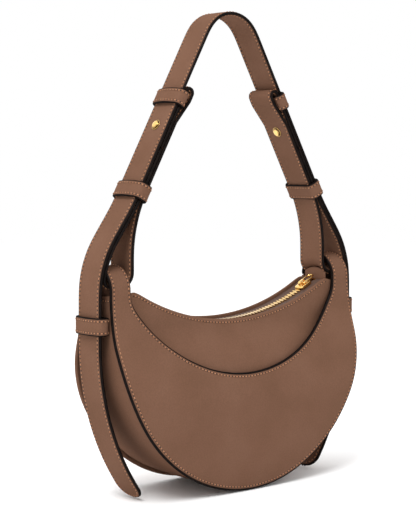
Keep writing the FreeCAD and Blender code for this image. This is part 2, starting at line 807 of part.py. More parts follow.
# Loop straps: up beside the belt, under the arch, up again, and over the upper keeper in a fold
under = AXIS + " + loop_lift - strap_ply / 2"
over = AXIS + " + loop_lift + strap_ply / 2"
inner_x = "inner_leg_face - leg_bend"
loop_end = "splice_at + ply_gap / 2"
bulge_out = "(apex_radius - ply_step - fold_room)"
bulge_in = "(apex_radius - ply_step - fold_room - strap_ply)"
fold_mid = "apex_radius - ply_step - fold_room / 2"
fold_t = "fold_at + fold_room / 2 + strap_ply"
bulge_t = "fold_start - bulge_run"
face_flare, face_bend = flared(MID_OUT, "belt_bend - ply_gap")
back_flare, back_bend = flared(MID_IN, "belt_bend - ply_step")
outer_side = [
    leg(MID_OUT, loop_end) + (None,),
    face_flare + (None,),
    face_bend + ("-belt_bend - ply_gap",),
    ("belt_face - ply_gap", BELT_Z, None),
    ("belt_face - ply_gap", over + " + loop_corner", "-loop_corner + strap_ply"),
    ("outer_leg_face - loop_corner", under, None),
    ("inner_leg_face + loop_sag", under, "-loop_sag + strap_ply"),
    ("inner_leg_face - strap_ply", over + " + loop_sag", None),
    ("inner_leg_face - strap_ply", "inner_leg_z", "+leg_bend - strap_ply"),
    about(inner_x, "inner_leg_z", "leg_bend - strap_ply") + (None,),
    leg(STRAND_IN, "fold_start") + (None,),
    leg(bulge_in, bulge_t) + (None,),
    leg(bulge_in, fold_t) + ("-fold_room / 2 + strap_ply",),
    leg(fold_mid, "fold_at") + ("-fold_room / 2 + strap_ply",),
    leg(MID_OUT, fold_t) + (None,),
    leg(MID_OUT, "leaf_end") + (None,),
]
inner_side = [
    leg(MID_IN, "leaf_end") + (None,),
    leg(MID_IN, fold_t) + ("+fold_room / 2",),
    leg(fold_mid, "fold_at + strap_ply") + ("+fold_room / 2",),
    leg(bulge_out, fold_t) + (None,),
    leg(bulge_out, bulge_t) + (None,),
    leg(STRAND_OUT, "fold_start") + (None,),
    about(inner_x, "inner_leg_z", "leg_bend") + ("-leg_bend",),
    ("inner_leg_face", "inner_leg_z", None),
    ("inner_leg_face", over + " + loop_sag", "+loop_sag"),
    ("inner_leg_face + loop_sag", over, None),
    ("outer_leg_face - loop_corner", over, "+loop_corner"),
    ("outer_leg_face", over + " + loop_corner", None),
    ("outer_leg_face", BELT_Z, "+belt_bend - ply_step"),
    back_bend + (None,),
    back_flare + (None,),
    leg(MID_IN, loop_end) + (None,),
]
loop = cut("loop", strap("whole_loop", outer_side + inner_side), right_hole)
node(loop, "loop_strap_right")
node(mirrored("loop_twin", loop, LEFT), "loop_strap_left")


# Keepers

def ring(low, high, half):
    """A leather band round a space from low to high and half to each side, as two loops."""
    wall = "keeper_leather"
    outer = rectangle("%s - %s" % (low, wall), "%s + %s" % (high, wall), "-(%s + %s)" % (half, wall),
                      "%s + %s" % (half, wall))
    return [outer, rectangle(low, high, "-(%s)" % half, half)]


half_room = "strap_width / 2 + keeper_ease"


def leg_keeper(name, low, along):
    """A keeper round the strap layers on the straight leg."""
    x, z = leg("0", along)
    body = new_body(name + "_body", "strap_angle", {"x": x, "z": z})
    loops = ring(low, "(apex_radius + strap_ply + keeper_ease)", half_room)
    pad(body, name + "_band", "XY", loops, "keeper_high")
    node(body, name + "_right")
    node(mirrored(name + "_twin", body, LEFT), name + "_left")


leg_keeper("upper_keeper", "(apex_radius - ply_step - keeper_ease)", "upper_keeper_at")
leg_keeper("lower_keeper", "(strand_face - strap_ply - keeper_ease)", "lower_keeper_at")
side_ring = ring("(gusset_radius + seam_gap + keeper_leather)", "(belt_face + strap_ply + keeper_ease)",
                 half_room)
side_keeper = prism("side_keeper", "XY", side_ring, "keeper_high", {"z": "side_keeper_at - bag_drop"})
node(side_keeper, "side_keeper_right")
node(mirrored("side_keeper_twin", side_keeper, LEFT), "side_keeper_left")

# Studs: a domed post from the outside and a domed screw that threads into it

stud_x, stud_z = leg("0", "stud_at")
stud_place = {"x": stud_x, "z": stud_z}
head_z = STRAND_IN + " - seam_gap / 2"
post = new_body("post_body", "strap_angle", stud_place)
spun(post, "post_profile", [
    (BELT_OUT + " - ply_gap", "0", None),
    (BELT_OUT + " + stud_dome", "0", None),
    (BELT_OUT + " + stud_brow", "stud_crown", None),
    (BELT_OUT + " + metal_gap", "stud_head", None),
    (BELT_OUT + " + metal_gap", "stud_post", None),
    (STRAND_IN, "stud_post", None),
    (STRAND_IN, "stud_bore", None),
    (BELT_OUT + " - ply_gap", "stud_bore", None),
])
node(post, "stud_post_right")
node(mirrored("post_twin", post, LEFT), "stud_post_left")
screw = new_body("screw_body", "strap_angle", stud_place)
spun(screw, "screw_profile", [
    (head_z + " - stud_dome", "0", None),
    (BELT_IN, "0", None),
    (BELT_IN, "stud_shank", None),
    (head_z, "stud_shank", None),
    (head_z, "stud_head", None),
    (head_z + " - stud_brow", "stud_crown", None),
])
node(screw, "stud_screw_right")
node(mirrored("screw_twin", screw, LEFT), "stud_screw_left")

# Build, check and write

doc.recompute()
os.makedirs("parts", exist_ok=True)
for item in doc.Objects:
    if "Invalid" in item.State or "Error" in item.State:
        raise RuntimeError("could not build " + item.Name)
for solid in nodes:
    if solid.Shape.isNull() or not solid.Shape.isValid() or not solid.Shape.Solids:
        raise RuntimeError("no sound solid for " + solid.Label)
    solid.Shape.exportStep(os.path.join("parts", solid.Label + ".step"))
    box = solid.Shape.BoundBox
    print("%-18s %2d solids  %9.1f mm3  x %.1f..%.1f  y %.1f..%.1f  z %.1f..%.1f" % (
        solid.Label, len(solid.Shape.Solids), solid.Shape.Volume,
        box.XMin, box.XMax, box.YMin, box.YMax, box.ZMin, box.ZMax))
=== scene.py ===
import copy
from math import asin, atan2, copysign, cos, pi, radians, sin, sqrt

import bmesh
import bpy
import numpy as np
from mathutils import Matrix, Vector


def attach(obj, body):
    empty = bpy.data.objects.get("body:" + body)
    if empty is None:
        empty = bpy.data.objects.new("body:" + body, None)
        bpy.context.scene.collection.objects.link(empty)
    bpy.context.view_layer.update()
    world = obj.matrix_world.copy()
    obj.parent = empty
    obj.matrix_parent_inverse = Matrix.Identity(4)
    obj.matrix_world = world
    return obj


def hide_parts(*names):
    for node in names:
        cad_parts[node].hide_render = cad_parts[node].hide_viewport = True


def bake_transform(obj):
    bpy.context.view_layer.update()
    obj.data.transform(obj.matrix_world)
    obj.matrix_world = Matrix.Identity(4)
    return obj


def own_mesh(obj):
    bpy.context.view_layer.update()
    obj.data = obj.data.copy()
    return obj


# The looks of a half-moon shoulder bag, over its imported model. Sizes are in millimetres, in the part's own
# frame: origin where the strap hangs, X to the right, Y to the back and Z up. Heights over the bottom of the
# bag, such as ZIP_DIP, are set in that frame by lift(). The counts in linspace(), circle() and edge_rows()
# only say how fine a mesh is.

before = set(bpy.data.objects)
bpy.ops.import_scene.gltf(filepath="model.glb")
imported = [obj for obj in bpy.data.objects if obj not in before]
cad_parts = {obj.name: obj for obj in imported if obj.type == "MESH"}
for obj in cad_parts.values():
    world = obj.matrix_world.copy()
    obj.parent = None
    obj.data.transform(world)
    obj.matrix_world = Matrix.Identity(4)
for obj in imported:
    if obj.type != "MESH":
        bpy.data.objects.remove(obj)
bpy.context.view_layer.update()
MM = 0.001

# Strap
STRAP_WIDTH = 27.0
PLY = 2.4
PLY_GAP = 0.3
APEX_RADIUS = 25.6
STRAP_ANGLE = radians(28.4)
FLARE_ANGLE = radians(35.0)
FLARE_DROP = 12.5
SEAT_RISE = 179.9
BELT_BEND = 67.6
BELT_EASE = 6.0
LEG_BEND = 100.0
LEG_RISE = -2.3
LOOP_LIFT = 3.6
LOOP_SLACK = 3.5
LOOP_CORNER = 4.0
LOOP_SAG = 8.0
SWELL = 0.25
BOW = 6.0
BOW_RISE = 14.0
TAIL_BEND = 185.0
TAIL_TURN = radians(38.2)
TAIL_TIP = 11.0
TAIL_IN = 0.6
TIP_ROOM = 2.0
STRAP_STEP = 2.5

# Bag
MOON_RADIUS = 119.5
MOON_LEATHER = 3.2
BITE_RADIUS = 116.6
BITE_DROP = 38.9
HORN_OUTER = 119.0
HORN_INNER = 100.0
HORN_EASE = 12.0
RIM_EASE = 5.0
BODY_SHARE = 0.8
PILLOW = 0.7
PILLOW_FADE = 40.0
ARCH_HALF = 18.4
MOON_STACK = 3.4
BELLY_HALF = 35.0
SHOULDER = 60.0
BELLY_BEND = 150.0
PANEL_BEND = 110.0
PANEL_LEATHER = 2.0
PANEL_RADIUS = 114.3
PANEL_PROUD = 0.1
GUSSET_RADIUS = 116.5
GUSSET_LEATHER = 2.0
BULGE = 1.2
BULGE_DROP = 30.0
BULGE_FADE = 40.0
TAB_DEPTH = 22.0
TAB_LEATHER = 2.0
TAB_CROWN = 3.0
FACING_CROWN = 3.6
LINING_CLOTH = 0.8
LINING_DROP = 4.0
LINING_IN = 1.0
POCKET_HALF = 49.6
POCKET_LOW = 45.4
POCKET_TOP = 99.6
SEAM_GAP = 0.2

# Zip, slider and pull
ZIP_DIP = 126.9
ZIP_RADIUS = 183.6
ZIP_REACH = 94.6
ZIP_SINK = 3.0
ZIP_HALF = 14.8
ZIP_EASE = 5.0
DROP_AT = ZIP_REACH + 1.5
DROP_RUN = 7.2
TAPE_CLOTH = 0.8
TAPE_IN = 1.3
SLIDER_BACK = 11.4
SLIDER_LONG = 12.0
SLIDER_WIDE = 9.2
SLIDER_HIGH = 6.4
SLIDER_SOFT = 0.35
SLIDER_DOME = 0.25
SLIDER_BEVEL = 0.105
TOOTH_ROOM = 3.75
CHAIN_ROOM = 1.85
TAPE_ROOM = 0.75
LIP_RUN = 0.6
LIP_SOFT = 0.1
NOSE_LONG = 3.0
NOSE_WIDE = 1.1
NOSE_DROP = 0.5
WEDGE_MIDDLE = 3.4
WEDGE_LONG = 3.2
WEDGE_HALF = 1.1
CROWN_FRONT = 3.0
CROWN_REAR = 4.0
CROWN_HIGH = 3.2
CROWN_WIDE = 2.4
CROWN_METAL = 1.0
CROWN_BEND = 1.3
CROWN_SQUARE = 0.75
CROWN_SUNK = 0.5
PULL_LONG = 14.0
PULL_WIDE = 7.0
PULL_METAL = 1.5
PULL_THICK = 1.3
PULL_BEND = 1.0

# Keepers and studs
KEEPER_LEATHER = 2.0
KEEPER_HIGH = 13.0
KEEPER_EASE = 0.4
KEEPER_CORNER = 4.4
KEEPER_BOW = 48.0
UPPER_KEEPER_AT = 59.0
LOWER_KEEPER_AT = 137.0
FOLD_AT = 47.0
FOLD_ROOM = 4.4
FOLD_START = 77.4
BULGE_RUN = 20.0
SPLICE_AT = 100.3
STUD_AT = 83.0
STUD_HEAD = 4.2
STUD_DOME = 2.3
STUD_BEAD = 0.4
STUD_POST = 2.0
STUD_SHANK = 1.2
STUD_ROOM = 0.1
BORE_ROOM = 0.2

# Sewing, and the rounding and wear of leather edges
STITCH_PITCH = 3.0
STITCH_IN = 2.6
MOON_STITCH_IN = 3.0
KEEPER_STITCH_IN = 2.3
STITCH_PROUD = 0.2
STITCH_WIDE = 0.4
STITCH_SHARE = 0.58
STITCH_RISE = 0.22
STITCH_FLAT = 0.75
SEWN_STEP = 0.7
SEAM_SHORT = 2.0
NEEDLE_HALF = 0.62
NEEDLE_RISE = 0.1
NEEDLE_FOOT = 0.3
NEEDLE_DEEP = 0.4
EDGE_BANDS = 6
EDGE_WEAR = 4.0

# Places worked out from the sizes
ZIP_CENTRE = ZIP_DIP + ZIP_RADIUS
ZIP_ANGLE = asin(ZIP_REACH / ZIP_RADIUS)
ZIP_END_Z = ZIP_CENTRE - ZIP_RADIUS * cos(ZIP_ANGLE)
CHAIN_RADIUS = ZIP_RADIUS + ZIP_SINK
SLIDER_ANGLE = ZIP_ANGLE - SLIDER_BACK / CHAIN_RADIUS
PIN_X = (CROWN_FRONT - CROWN_REAR) / 2
PIN_Z = (SLIDER_HIGH + CROWN_HIGH - CROWN_METAL) / 2
BITE_CENTRE = ZIP_DIP - BITE_DROP + BITE_RADIUS
TAB_HEIGHT = ZIP_END_Z - 3.6
AXIS_HEIGHT = TAB_HEIGHT + 3.8
ZIP_LEVEL = AXIS_HEIGHT + 0.5
TAB_TOP = AXIS_HEIGHT + 3.5
FACING_TOP = AXIS_HEIGHT + 2.3
HEM_TOP = AXIS_HEIGHT - 2.8
END_SHELF = AXIS_HEIGHT - 2.5
HEM_HEIGHT = TAB_HEIGHT - 3.5
SIDE_KEEPER_AT = HEM_HEIGHT - 17.0
BAG_DROP = SEAT_RISE + AXIS_HEIGHT
OUTER_LEG_FACE = HORN_OUTER + 1.0
BELT_FACE = OUTER_LEG_FACE + PLY + PLY_GAP
INNER_LEG_FACE = HORN_INNER - LOOP_SLACK
STRAND_FACE = APEX_RADIUS - 2 * PLY_GAP - PLY
COS_LEG = cos(STRAP_ANGLE)
SIN_LEG = sin(STRAP_ANGLE)
INNER_LEG_Z = (STRAND_FACE - LEG_BEND - COS_LEG * (INNER_LEG_FACE - LEG_BEND)) / SIN_LEG
FLARE_AT = LOWER_KEEPER_AT + FLARE_DROP


# Lines

TINY = 1e-9
STEP = 0.5


def xyz(x, y, z):
    """Points or directions from their three parts."""
    return np.stack(np.broadcast_arrays(x, y, z), axis=-1)


def parts(points):
    """The parts of points, one array each."""
    return np.moveaxis(points, -1, 0)


def unit(vectors):
    return vectors / np.maximum(np.linalg.norm(vectors, axis=-1, keepdims=True), TINY)


def across(vectors, normal):
    """Unit vectors, with what lies along the normal taken out."""
    return unit(vectors - normal * np.sum(vectors * normal, axis=-1, keepdims=True))


def walked(points, axis=0):
    """The length gone at each point of a row."""
    gaps = np.linalg.norm(np.diff(points, axis=axis), axis=-1)
    return np.insert(np.cumsum(gaps, axis=axis), 0, 0.0, axis=axis)


def circle(count):
    """Cosines and sines of even turns."""
    turns = np.arange(count) * 2 * pi / count
    return np.array([np.cos(turns), np.sin(turns)])


def between(s, at, rows, period=None):
    """Rows of values at places s, between those given at known places."""
    return np.stack([np.interp(s, at, column, period=period) for column in rows.T], axis=-1)


class Path:
    """A flat line through points, open or joined up, followed by length. Its outside is to the left."""

    def __init__(self, points, joined=False):
        apart = np.diff(walked(points), prepend=-1.0) > TINY
        self.points = points[apart]
        self.at = walked(self.points)
        self.length = self.at[-1]
        self.period = self.length if joined else None

    def spot(self, s):
        return between(s, self.at, self.points, self.period)

    def facing(self, s, reach=1.0):
        """Both parts of a spot, and of the way out of the line there."""
        a, b = parts(unit(self.spot(s + reach) - self.spot(s - reach)))
        return (*parts(self.spot(s)), -b, a)

    def eased(self, reach):
        """The same line with its corners eased over a length."""
        line = self.spot(np.linspace(0, self.length, int(self.length / STEP)))
        width = max(int(reach / STEP), 1)
        kernel = np.ones(2 * width + 1) / (2 * width + 1)
        for turn in range(2):
            head = 2 * line[0] - line[width:0:-1]
            tail = 2 * line[-1] - line[-2:-width - 2:-1]
            padded = np.vstack([head, line, tail])
            line = np.transpose([np.convolve(column, kernel, "valid") for column in padded.T])
        return Path(line)


def run(corners, joined=False):
    """A line through corners (a, b, bend). The stretch to the next corner is straight when bend is None, and
    otherwise an arc of that radius, to the left when positive and to the right when negative."""
    points = []
    for (a, b, bend), (c, d, unused) in zip(corners, corners[1:]):
        start, end = np.array([(a, b), (c, d)], float)
        chord = end - start
        size = np.linalg.norm(chord)
        if bend is None:
            points.append(np.linspace(start, end, max(int(size / STEP), 2)))
            continue
        way = copysign(1, bend)
        radius = abs(bend)
        left = np.array([-chord[1], chord[0]]) / size * way
        centre = (start + end) / 2 + left * sqrt(max(radius ** 2 - (size / 2) ** 2, 0))
        first = atan2(*(start - centre)[::-1])
        sweep = 2 * asin(min(size / 2 / radius, 1)) * way
        angles = first + sweep * np.linspace(0, 1, max(int(radius * abs(sweep) / STEP), 6))
        points.append(centre + radius * np.transpose([np.cos(angles), np.sin(angles)]))
    return Path(np.vstack(points), joined)


def lift(height):
    """A height over the bottom of the bag, in the part's frame."""
    return height - BAG_DROP


def wobble(x, y, z, size, depth, seed):
    """Slow unevenness of hand-made leather. Its odd factors keep the waves out of step."""
    a = np.sin(x / size + 1.7 * seed + 0.8 * np.sin(z / size * 0.7 + seed))
    b = np.sin(z / size * 1.3 + 2.9 * seed + 0.6 * np.sin(x / size * 0.9))
    c = np.sin(y / size * 1.1 + 0.5 * seed)
    return depth * (a * b + 0.5 * b * c) / 1.5


# Meshes

def new_object(name, data):
    thing = bpy.data.objects.new(name, data)
    bpy.context.scene.collection.objects.link(thing)
    return thing


class Piece:
    """Gathers the faces of one object, each part with its own material."""

    def __init__(self, name):
        self.name = name
        self.verts, self.rim, self.faces, self.paint, self.materials = [], [], [], [], []

    def add(self, verts, faces, material, rim=0.0):
        """Points, how near a rim they are (on gold, how much painted shade they carry), and faces over them.
        """
        verts = np.reshape(verts, (-1, 3))
        base = sum(map(len, self.verts))
        self.verts.append(verts)
        self.rim.append(np.broadcast_to(np.ravel(rim), len(verts)))
        self.cover(faces, material, base)
        return base

    def cover(self, faces, material, base=0):
        """Faces over points added earlier."""
        if material not in self.materials:
            self.materials.append(material)
        self.faces += [tuple(int(i) + base for i in face) for face in faces]
        self.paint += [self.materials.index(material)] * len(faces)

    def pair(self):
        """This piece for the right and its mirror image for the left, each with its side."""
        twin = copy.copy(self)
        twin.verts = [verts * (-1, 1, 1) for verts in self.verts]
        twin.faces = [face[::-1] for face in self.faces]
        twin.name += "_left"
        self.name += "_right"
        return ((self, "right"), (twin, "left"))

    def build(self):
        """The object, smooth and with its faces turned outward."""
        mesh = bpy.data.meshes.new(self.name)
        mesh.from_pydata((np.vstack(self.verts) * MM).tolist(), [], self.faces)
        mesh.polygons.foreach_set("material_index", self.paint)
        mesh.polygons.foreach_set("use_smooth", [True] * len(self.faces))
        for material in self.materials:
            mesh.materials.append(material)
        layer = mesh.attributes.new("rim", "FLOAT", "POINT")
        layer.data.foreach_set("value", np.hstack(self.rim).astype(np.float32))
        shell = bmesh.new()
        shell.from_mesh(mesh)
        bmesh.ops.recalc_face_normals(shell, faces=shell.faces)
        shell.to_mesh(mesh)
        shell.free()
        mesh.update()
        return new_object(self.name, mesh)

    def done(self, slot, *nodes):
        """The object, in place of its nodes. Its slot is not used."""
        thing = self.build()
        if nodes:
            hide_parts(*nodes)
        return thing


def grid_faces(rows, columns, round_rows=False, round_columns=False):
    """Faces over a grid of points, which may join up with itself either way."""
    i, j = np.meshgrid(np.arange(rows if round_rows else rows - 1),
                       np.arange(columns if round_columns else columns - 1), indexing="ij")
    low = (i + 1) % rows * columns
    right = (j + 1) % columns
    corners = [i * columns + j, low + j, low + right, i * columns + right]
    return np.stack(corners, axis=-1).reshape(-1, 4).tolist()


def tube_faces(rings, count, joined=False):
    """Faces over rings of points, closed at both ends or joined up."""
    faces = grid_faces(rings, count, joined, True)
    if not joined:
        last = (rings - 1) * count
        faces += [list(range(count)), list(range(last, last + count))]
    return faces


def leather(piece, place, u, v, thick, face, edge, ends=None, looped=False):
    """Lay a sheet over place(u, v), which gives points on its outer face and the way out of it. Its rim is a
    half-round past the first and last rows, and u joins up with itself when looped. The two ends of u may
    have an edge of their own."""
    top, out = place(*np.meshgrid(u, v, indexing="ij"))
    rows, columns = top.shape[:2]
    gone = walked(top, 1)
    near = np.minimum(gone, gone[:, -1:] - gone)
    if not looped:
        gone = walked(top)
        near = np.minimum(near, np.minimum(gone, gone[-1:] - gone))
    rim = np.clip(1 - near / EDGE_WEAR, 0, 1)
    faces = grid_faces(rows, columns, looped)
    base = piece.add([top, top - out * thick], faces, face, [rim, rim])
    size = rows * columns
    piece.cover(faces, face, base + size)

    index = np.arange(size).reshape(rows, columns)
    side = np.zeros_like(top)
    side[:, 0] += across(top[:, 0] - top[:, 1], out[:, 0])
    side[:, -1] += across(top[:, -1] - top[:, -2], out[:, -1])
    if looped:
        rings = [index[:, 0], index[:, -1]]
    else:
        side[0] += across(top[0] - top[1], out[0])
        side[-1] += across(top[-1] - top[-2], out[-1])
        rings = [np.hstack([index[:-1, 0], index[-1, :-1], index[:0:-1, -1], index[0, :0:-1]])]
    side = across(side, out)
    for ring in rings:
        at, normal, away = (values.reshape(-1, 3)[ring] for values in (top, out, side))
        middle = at - normal * thick / 2
        turns = np.linspace(pi / 2, -pi / 2, EDGE_BANDS + 1)[1:-1]
        hoops = [middle + (away * cos(a) + normal * sin(a)) * thick / 2 for a in turns]
        first = piece.add(hoops, [], edge)
        here = np.arange(len(ring))
        levels = [first + k * len(ring) + here for k in range(len(turns))]
        levels = [base + ring, *levels, base + size + ring]
        at_end = (here % (rows + columns - 2) >= rows - 1) & (not looped)
        for low, high in zip(levels, levels[1:]):
            band = np.transpose([low, np.roll(low, -1), np.roll(high, -1), high])
            piece.cover(band[~at_end], edge)
            piece.cover(band[at_end], ends or edge)


# One stitch as rings of points: shares of its length, of its rise and of its width
STITCH_AT = np.array([-0.5, -0.36, -0.12, 0.12, 0.36, 0.5])
STITCH_ARCH = np.array([-0.5, 0.55, 1.0, 1.0, 0.55, -0.5])
STITCH_GIRTH = np.array([0.35, 0.9, 1.0, 1.0, 0.9, 0.35])
STITCH_SIDES = 6


def seam(piece, place, u, v, under=0.0):
    """Stitches along a line of a sheet, on its outer face or at a thickness under that, with a needle hole
    between each two: a small dark cone of painted shade."""
    points, normals = place(*np.broadcast_arrays(u, v))
    points = points - normals * under
    normals = -normals if under else normals
    at = walked(points)
    count = max(int(round(at[-1] / STITCH_PITCH)), 1)
    step = at[-1] / count
    cosine, sine = circle(STITCH_SIDES)[:, :, None]

    def ahead(s, reach):
        return between(s + reach, at, points) - between(s - reach, at, points)

    def add_all(verts, material):
        """A closed tube over each group of rings."""
        groups, rings = verts.shape[:2]
        tube = np.arange(groups)[:, None] * rings * STITCH_SIDES
        faces = [start + face for face in map(np.array, tube_faces(rings, STITCH_SIDES)) for start in tube]
        piece.add(verts, faces, material)

    centres = (np.arange(count) + 0.5) * step
    s = centres[:, None] + STITCH_AT * step * STITCH_SHARE
    along = unit(ahead(centres, step / 3))[:, None]
    out = across(between(s, at, normals), along)
    side = np.cross(along, out)[:, :, None]
    middle = between(s, at, points) + out * (STITCH_ARCH * STITCH_RISE)[:, None]
    ring = side * cosine + out[:, :, None] * sine * STITCH_FLAT
    add_all(middle[:, :, None] + ring * (STITCH_GIRTH * STITCH_WIDE)[:, None, None], THREAD)

    seats = np.arange(count + 1) * step
    up = between(seats, at, normals)
    forward = across(ahead(seats, STEP), up)
    disc = forward[:, None] * cosine + np.cross(forward, up)[:, None] * sine
    up = up[:, None]
    # Each needle hole is a dark cone, painted shade, sunk a little into the face.
    hole = [disc * NEEDLE_HALF + up * NEEDLE_RISE, disc * NEEDLE_FOOT - up * NEEDLE_DEEP]
    add_all(between(seats, at, points)[:, None, None] + np.stack(hole, axis=1), HOLE_SHADE)


def edge_rows(low, high, count, steps=(0.0, 0.8, 2.0, 4.0)):
    """Rows across a sheet from low to high, closer together near both edges."""
    edge = np.array(steps[:-1])
    inner = np.linspace(low + steps[-1], high - steps[-1], count)
    return np.hstack([low + edge, inner, high - edge[::-1]])


# Materials

def feed(socket, value):
    """Give a socket a number or colour of its own, or link an output to it."""
    if isinstance(value, bpy.types.NodeSocket):
        socket.id_data.links.new(value, socket)
    else:
        socket.default_value = (*value, 1) if isinstance(value, tuple) else value


def add_node(tree, kind, values=None, **settings):
    node = tree.nodes.new("ShaderNode" + kind)
    for name, value in settings.items():
        setattr(node, name, value)
    for name, value in (values or {}).items():
        feed(node.inputs[name], value)
    return node


def material(looks):
    """A material named after looks(tree), which says what its surface shader is fed."""
    made = bpy.data.materials.new(looks.__name__)
    made.use_nodes = True
    tree = made.node_tree
    for name, value in looks(tree).items():
        feed(tree.nodes["Principled BSDF"].inputs[name], value)
    return made


def spots(tree):
    return add_node(tree, "TexCoord").outputs["Object"]


# The rim value of each point. On leather it is nearness to a rim, which darkens with wear. On gold it is
# painted shade.
def rim_wear_and_painted_shade(tree):
    return add_node(tree, "Attribute", attribute_name="rim").outputs["Fac"]


def noise(tree, scale, detail=2.0, rough=0.5):
    values = {"Scale": scale, "Detail": detail, "Roughness": rough, "Vector": spots(tree)}
    return add_node(tree, "TexNoise", values).outputs["Fac"]


def wave(tree, scale, direction, distortion=0.0, detail=2.0):
    values = {"Scale": scale, "Distortion": distortion, "Detail": detail, "Vector": spots(tree)}
    return add_node(tree, "TexWave", values, bands_direction=direction).outputs["Fac"]


def ramp(tree, source, stops):
    """A number as a colour, from stops (place, colour or grey)."""
    node = add_node(tree, "ValToRGB", {"Fac": source})
    while len(node.color_ramp.elements) < len(stops):
        node.color_ramp.elements.new(0.5)
    for element, (place, colour) in zip(node.color_ramp.elements, stops):
        element.position = place
        element.color = (*colour, 1) if isinstance(colour, tuple) else (colour, colour, colour, 1)
    return node.outputs["Color"]


def mottle(tree, scale, first, second, detail=2.0, at=(0.3, 0.7), rough=0.5):
    """Two colours in soft patches."""
    return ramp(tree, noise(tree, scale, detail, rough), list(zip(at, (first, second))))


def maths(tree, kind, first, second):
    return add_node(tree, "Math", {0: first, 1: second}, operation=kind).outputs["Value"]


def mix(tree, factor, first, second, kind="MIX"):
    """Two colours mixed. A mix node's colours are its seventh and eighth inputs and its third output."""
    values = {0: factor, 6: first, 7: second}
    return add_node(tree, "Mix", values, data_type="RGBA", blend_type=kind).outputs[2]


def bump(tree, height, strength, distance, below=None):
    values = {"Strength": strength, "Distance": distance, "Height": height}
    if below is not None:
        values["Normal"] = below
    return add_node(tree, "Bump", values).outputs["Normal"]


def srgb(*levels):
    """A colour as seen on a screen, 0 to 255, as light."""
    shares = [level / 255 for level in levels]
    return tuple(s / 12.92 if s <= 0.04045 else ((s + 0.055) / 1.055) ** 2.4 for s in shares)


def taupe_leather(tree):
    """Smooth calf: mottled colour, fine pores, a faint grain and a burnished rim."""
    dark = srgb(105, 76, 60)
    cloud = noise(tree, 28.0, 4.0, 0.55)
    tone = ramp(tree, cloud, [(0.30, dark), (0.52, srgb(110, 80, 64)), (0.74, srgb(114, 84, 68))])
    speck = mottle(tree, 900.0, 0.90, 1.0, at=(0.35, 0.62), rough=0.6)
    tone = mix(tree, 1.0, tone, speck, "MULTIPLY")
    worn = maths(tree, "MULTIPLY", rim_wear_and_painted_shade(tree), noise(tree, 160.0, 3.0))
    pores = add_node(tree, "TexVoronoi", {"Scale": 1150.0, "Vector": spots(tree)}, feature="DISTANCE_TO_EDGE")
    normal = bump(tree, maths(tree, "MINIMUM", pores.outputs["Distance"], 0.25), 0.16, 0.0006)
    normal = bump(tree, noise(tree, 240.0, 3.0), 0.05, 0.001, normal)
    return {
        "Base Color": mix(tree, maths(tree, "MULTIPLY", worn, 0.5), tone, dark),
        "Roughness": mottle(tree, 55.0, 0.50, 0.62, 3.0),
        "Normal": bump(tree, noise(tree, 30.0), 0.04, 0.004, normal),
        "Specular IOR Level": 0.0, "Coat Weight": 0.03, "Coat Roughness": 0.4,
    }


def edge_paint(tree):
    """Painted and polished edge with faint unevenness."""
    return {
        "Base Color": mottle(tree, 260.0, srgb(14, 10, 9), srgb(24, 18, 16), 3.0),
        "Roughness": mottle(tree, 400.0, 0.34, 0.5),
        "Normal": bump(tree, noise(tree, 500.0), 0.08, 0.0006),
        "Specular IOR Level": 0.0, "Coat Weight": 0.08, "Coat Roughness": 0.35,
    }


def thread(tree):
    return {
        "Base Color": mottle(tree, 420.0, srgb(150, 103, 74), srgb(178, 130, 98)),
        "Normal": bump(tree, wave(tree, 900.0, "DIAGONAL"), 0.35, 0.0003),
        "Roughness": 0.6, "Specular IOR Level": 0.1,
    }


# Painted shade: the needle holes' dark brown stands in for the shade inside them.
def needle_hole_shade(tree):
    return {"Base Color": mottle(tree, 500.0, srgb(36, 22, 16), srgb(52, 33, 25)), "Roughness": 0.8}


def woven(tree, light, dark, threads):
    weave = maths(tree, "MAXIMUM", *(wave(tree, threads, way, 0.6, 1.0) for way in ("X", "Z")))
    tone = ramp(tree, weave, [(0.2, dark), (0.9, light)])
    return {
        "Base Color": mix(tree, 1.0, tone, mottle(tree, 60.0, 0.86, 1.0, 3.0), "MULTIPLY"),
        "Normal": bump(tree, weave, 0.4, 0.0004),
        "Roughness": 0.82, "Sheen Weight": 0.05,
    }


def zip_tape_cloth(tree):
    return woven(tree, srgb(88, 60, 46), srgb(58, 38, 28), 620.0)


def lining_cloth(tree):
    return woven(tree, srgb(150, 122, 100), srgb(118, 92, 74), 480.0)


def gold_plate(tree):
    """Polished gold plate with faint smears and hairlines. Where its rim value is high it is painted darker:
    painted shade in the stud heads' grooves and under their beads, and a painted dark reflection round the
    dome feet.
    """
    tone = mottle(tree, 90.0, srgb(222, 178, 102), srgb(246, 208, 136), 3.0)
    return {
        # Painted shade and painted dark reflection: the rim value mixes the gold towards a deep brown on the
        # studs.
        "Base Color": mix(tree, rim_wear_and_painted_shade(tree), tone, srgb(70, 42, 14)),
        "Roughness": mottle(tree, 240.0, 0.10, 0.24, 4.0, (0.35, 0.75)),
        "Normal": bump(tree, noise(tree, 700.0), 0.03, 0.0003),
        "Metallic": 1.0,
    }


TAUPE = material(taupe_leather)
EDGE = material(edge_paint)
THREAD = material(thread)
HOLE_SHADE = material(needle_hole_shade)
TAPE = material(zip_tape_cloth)
LINING = material(lining_cloth)
GOLD = material(gold_plate)


# Walls of the bag

def leaning_wall(inward, bend, stack, half, top):
    """Profile of a wall from foot to top, seen from the right side, at a depth below the face of its layer.
    The layer lies a stack below the crescent's face and is upright at a half-depth at the top."""
    reach = BELLY_HALF - stack - half
    rise = top - SHOULDER
    span = (reach ** 2 + rise ** 2) / (2 * reach)
    shrink = bend - inward
    belly = BELLY_HALF - stack - inward
    return [
        (-belly, 0, None),
        (-belly, SHOULDER, -shrink),
        (shrink * reach / span - belly, SHOULDER + shrink * rise / span, span - shrink),
    ]


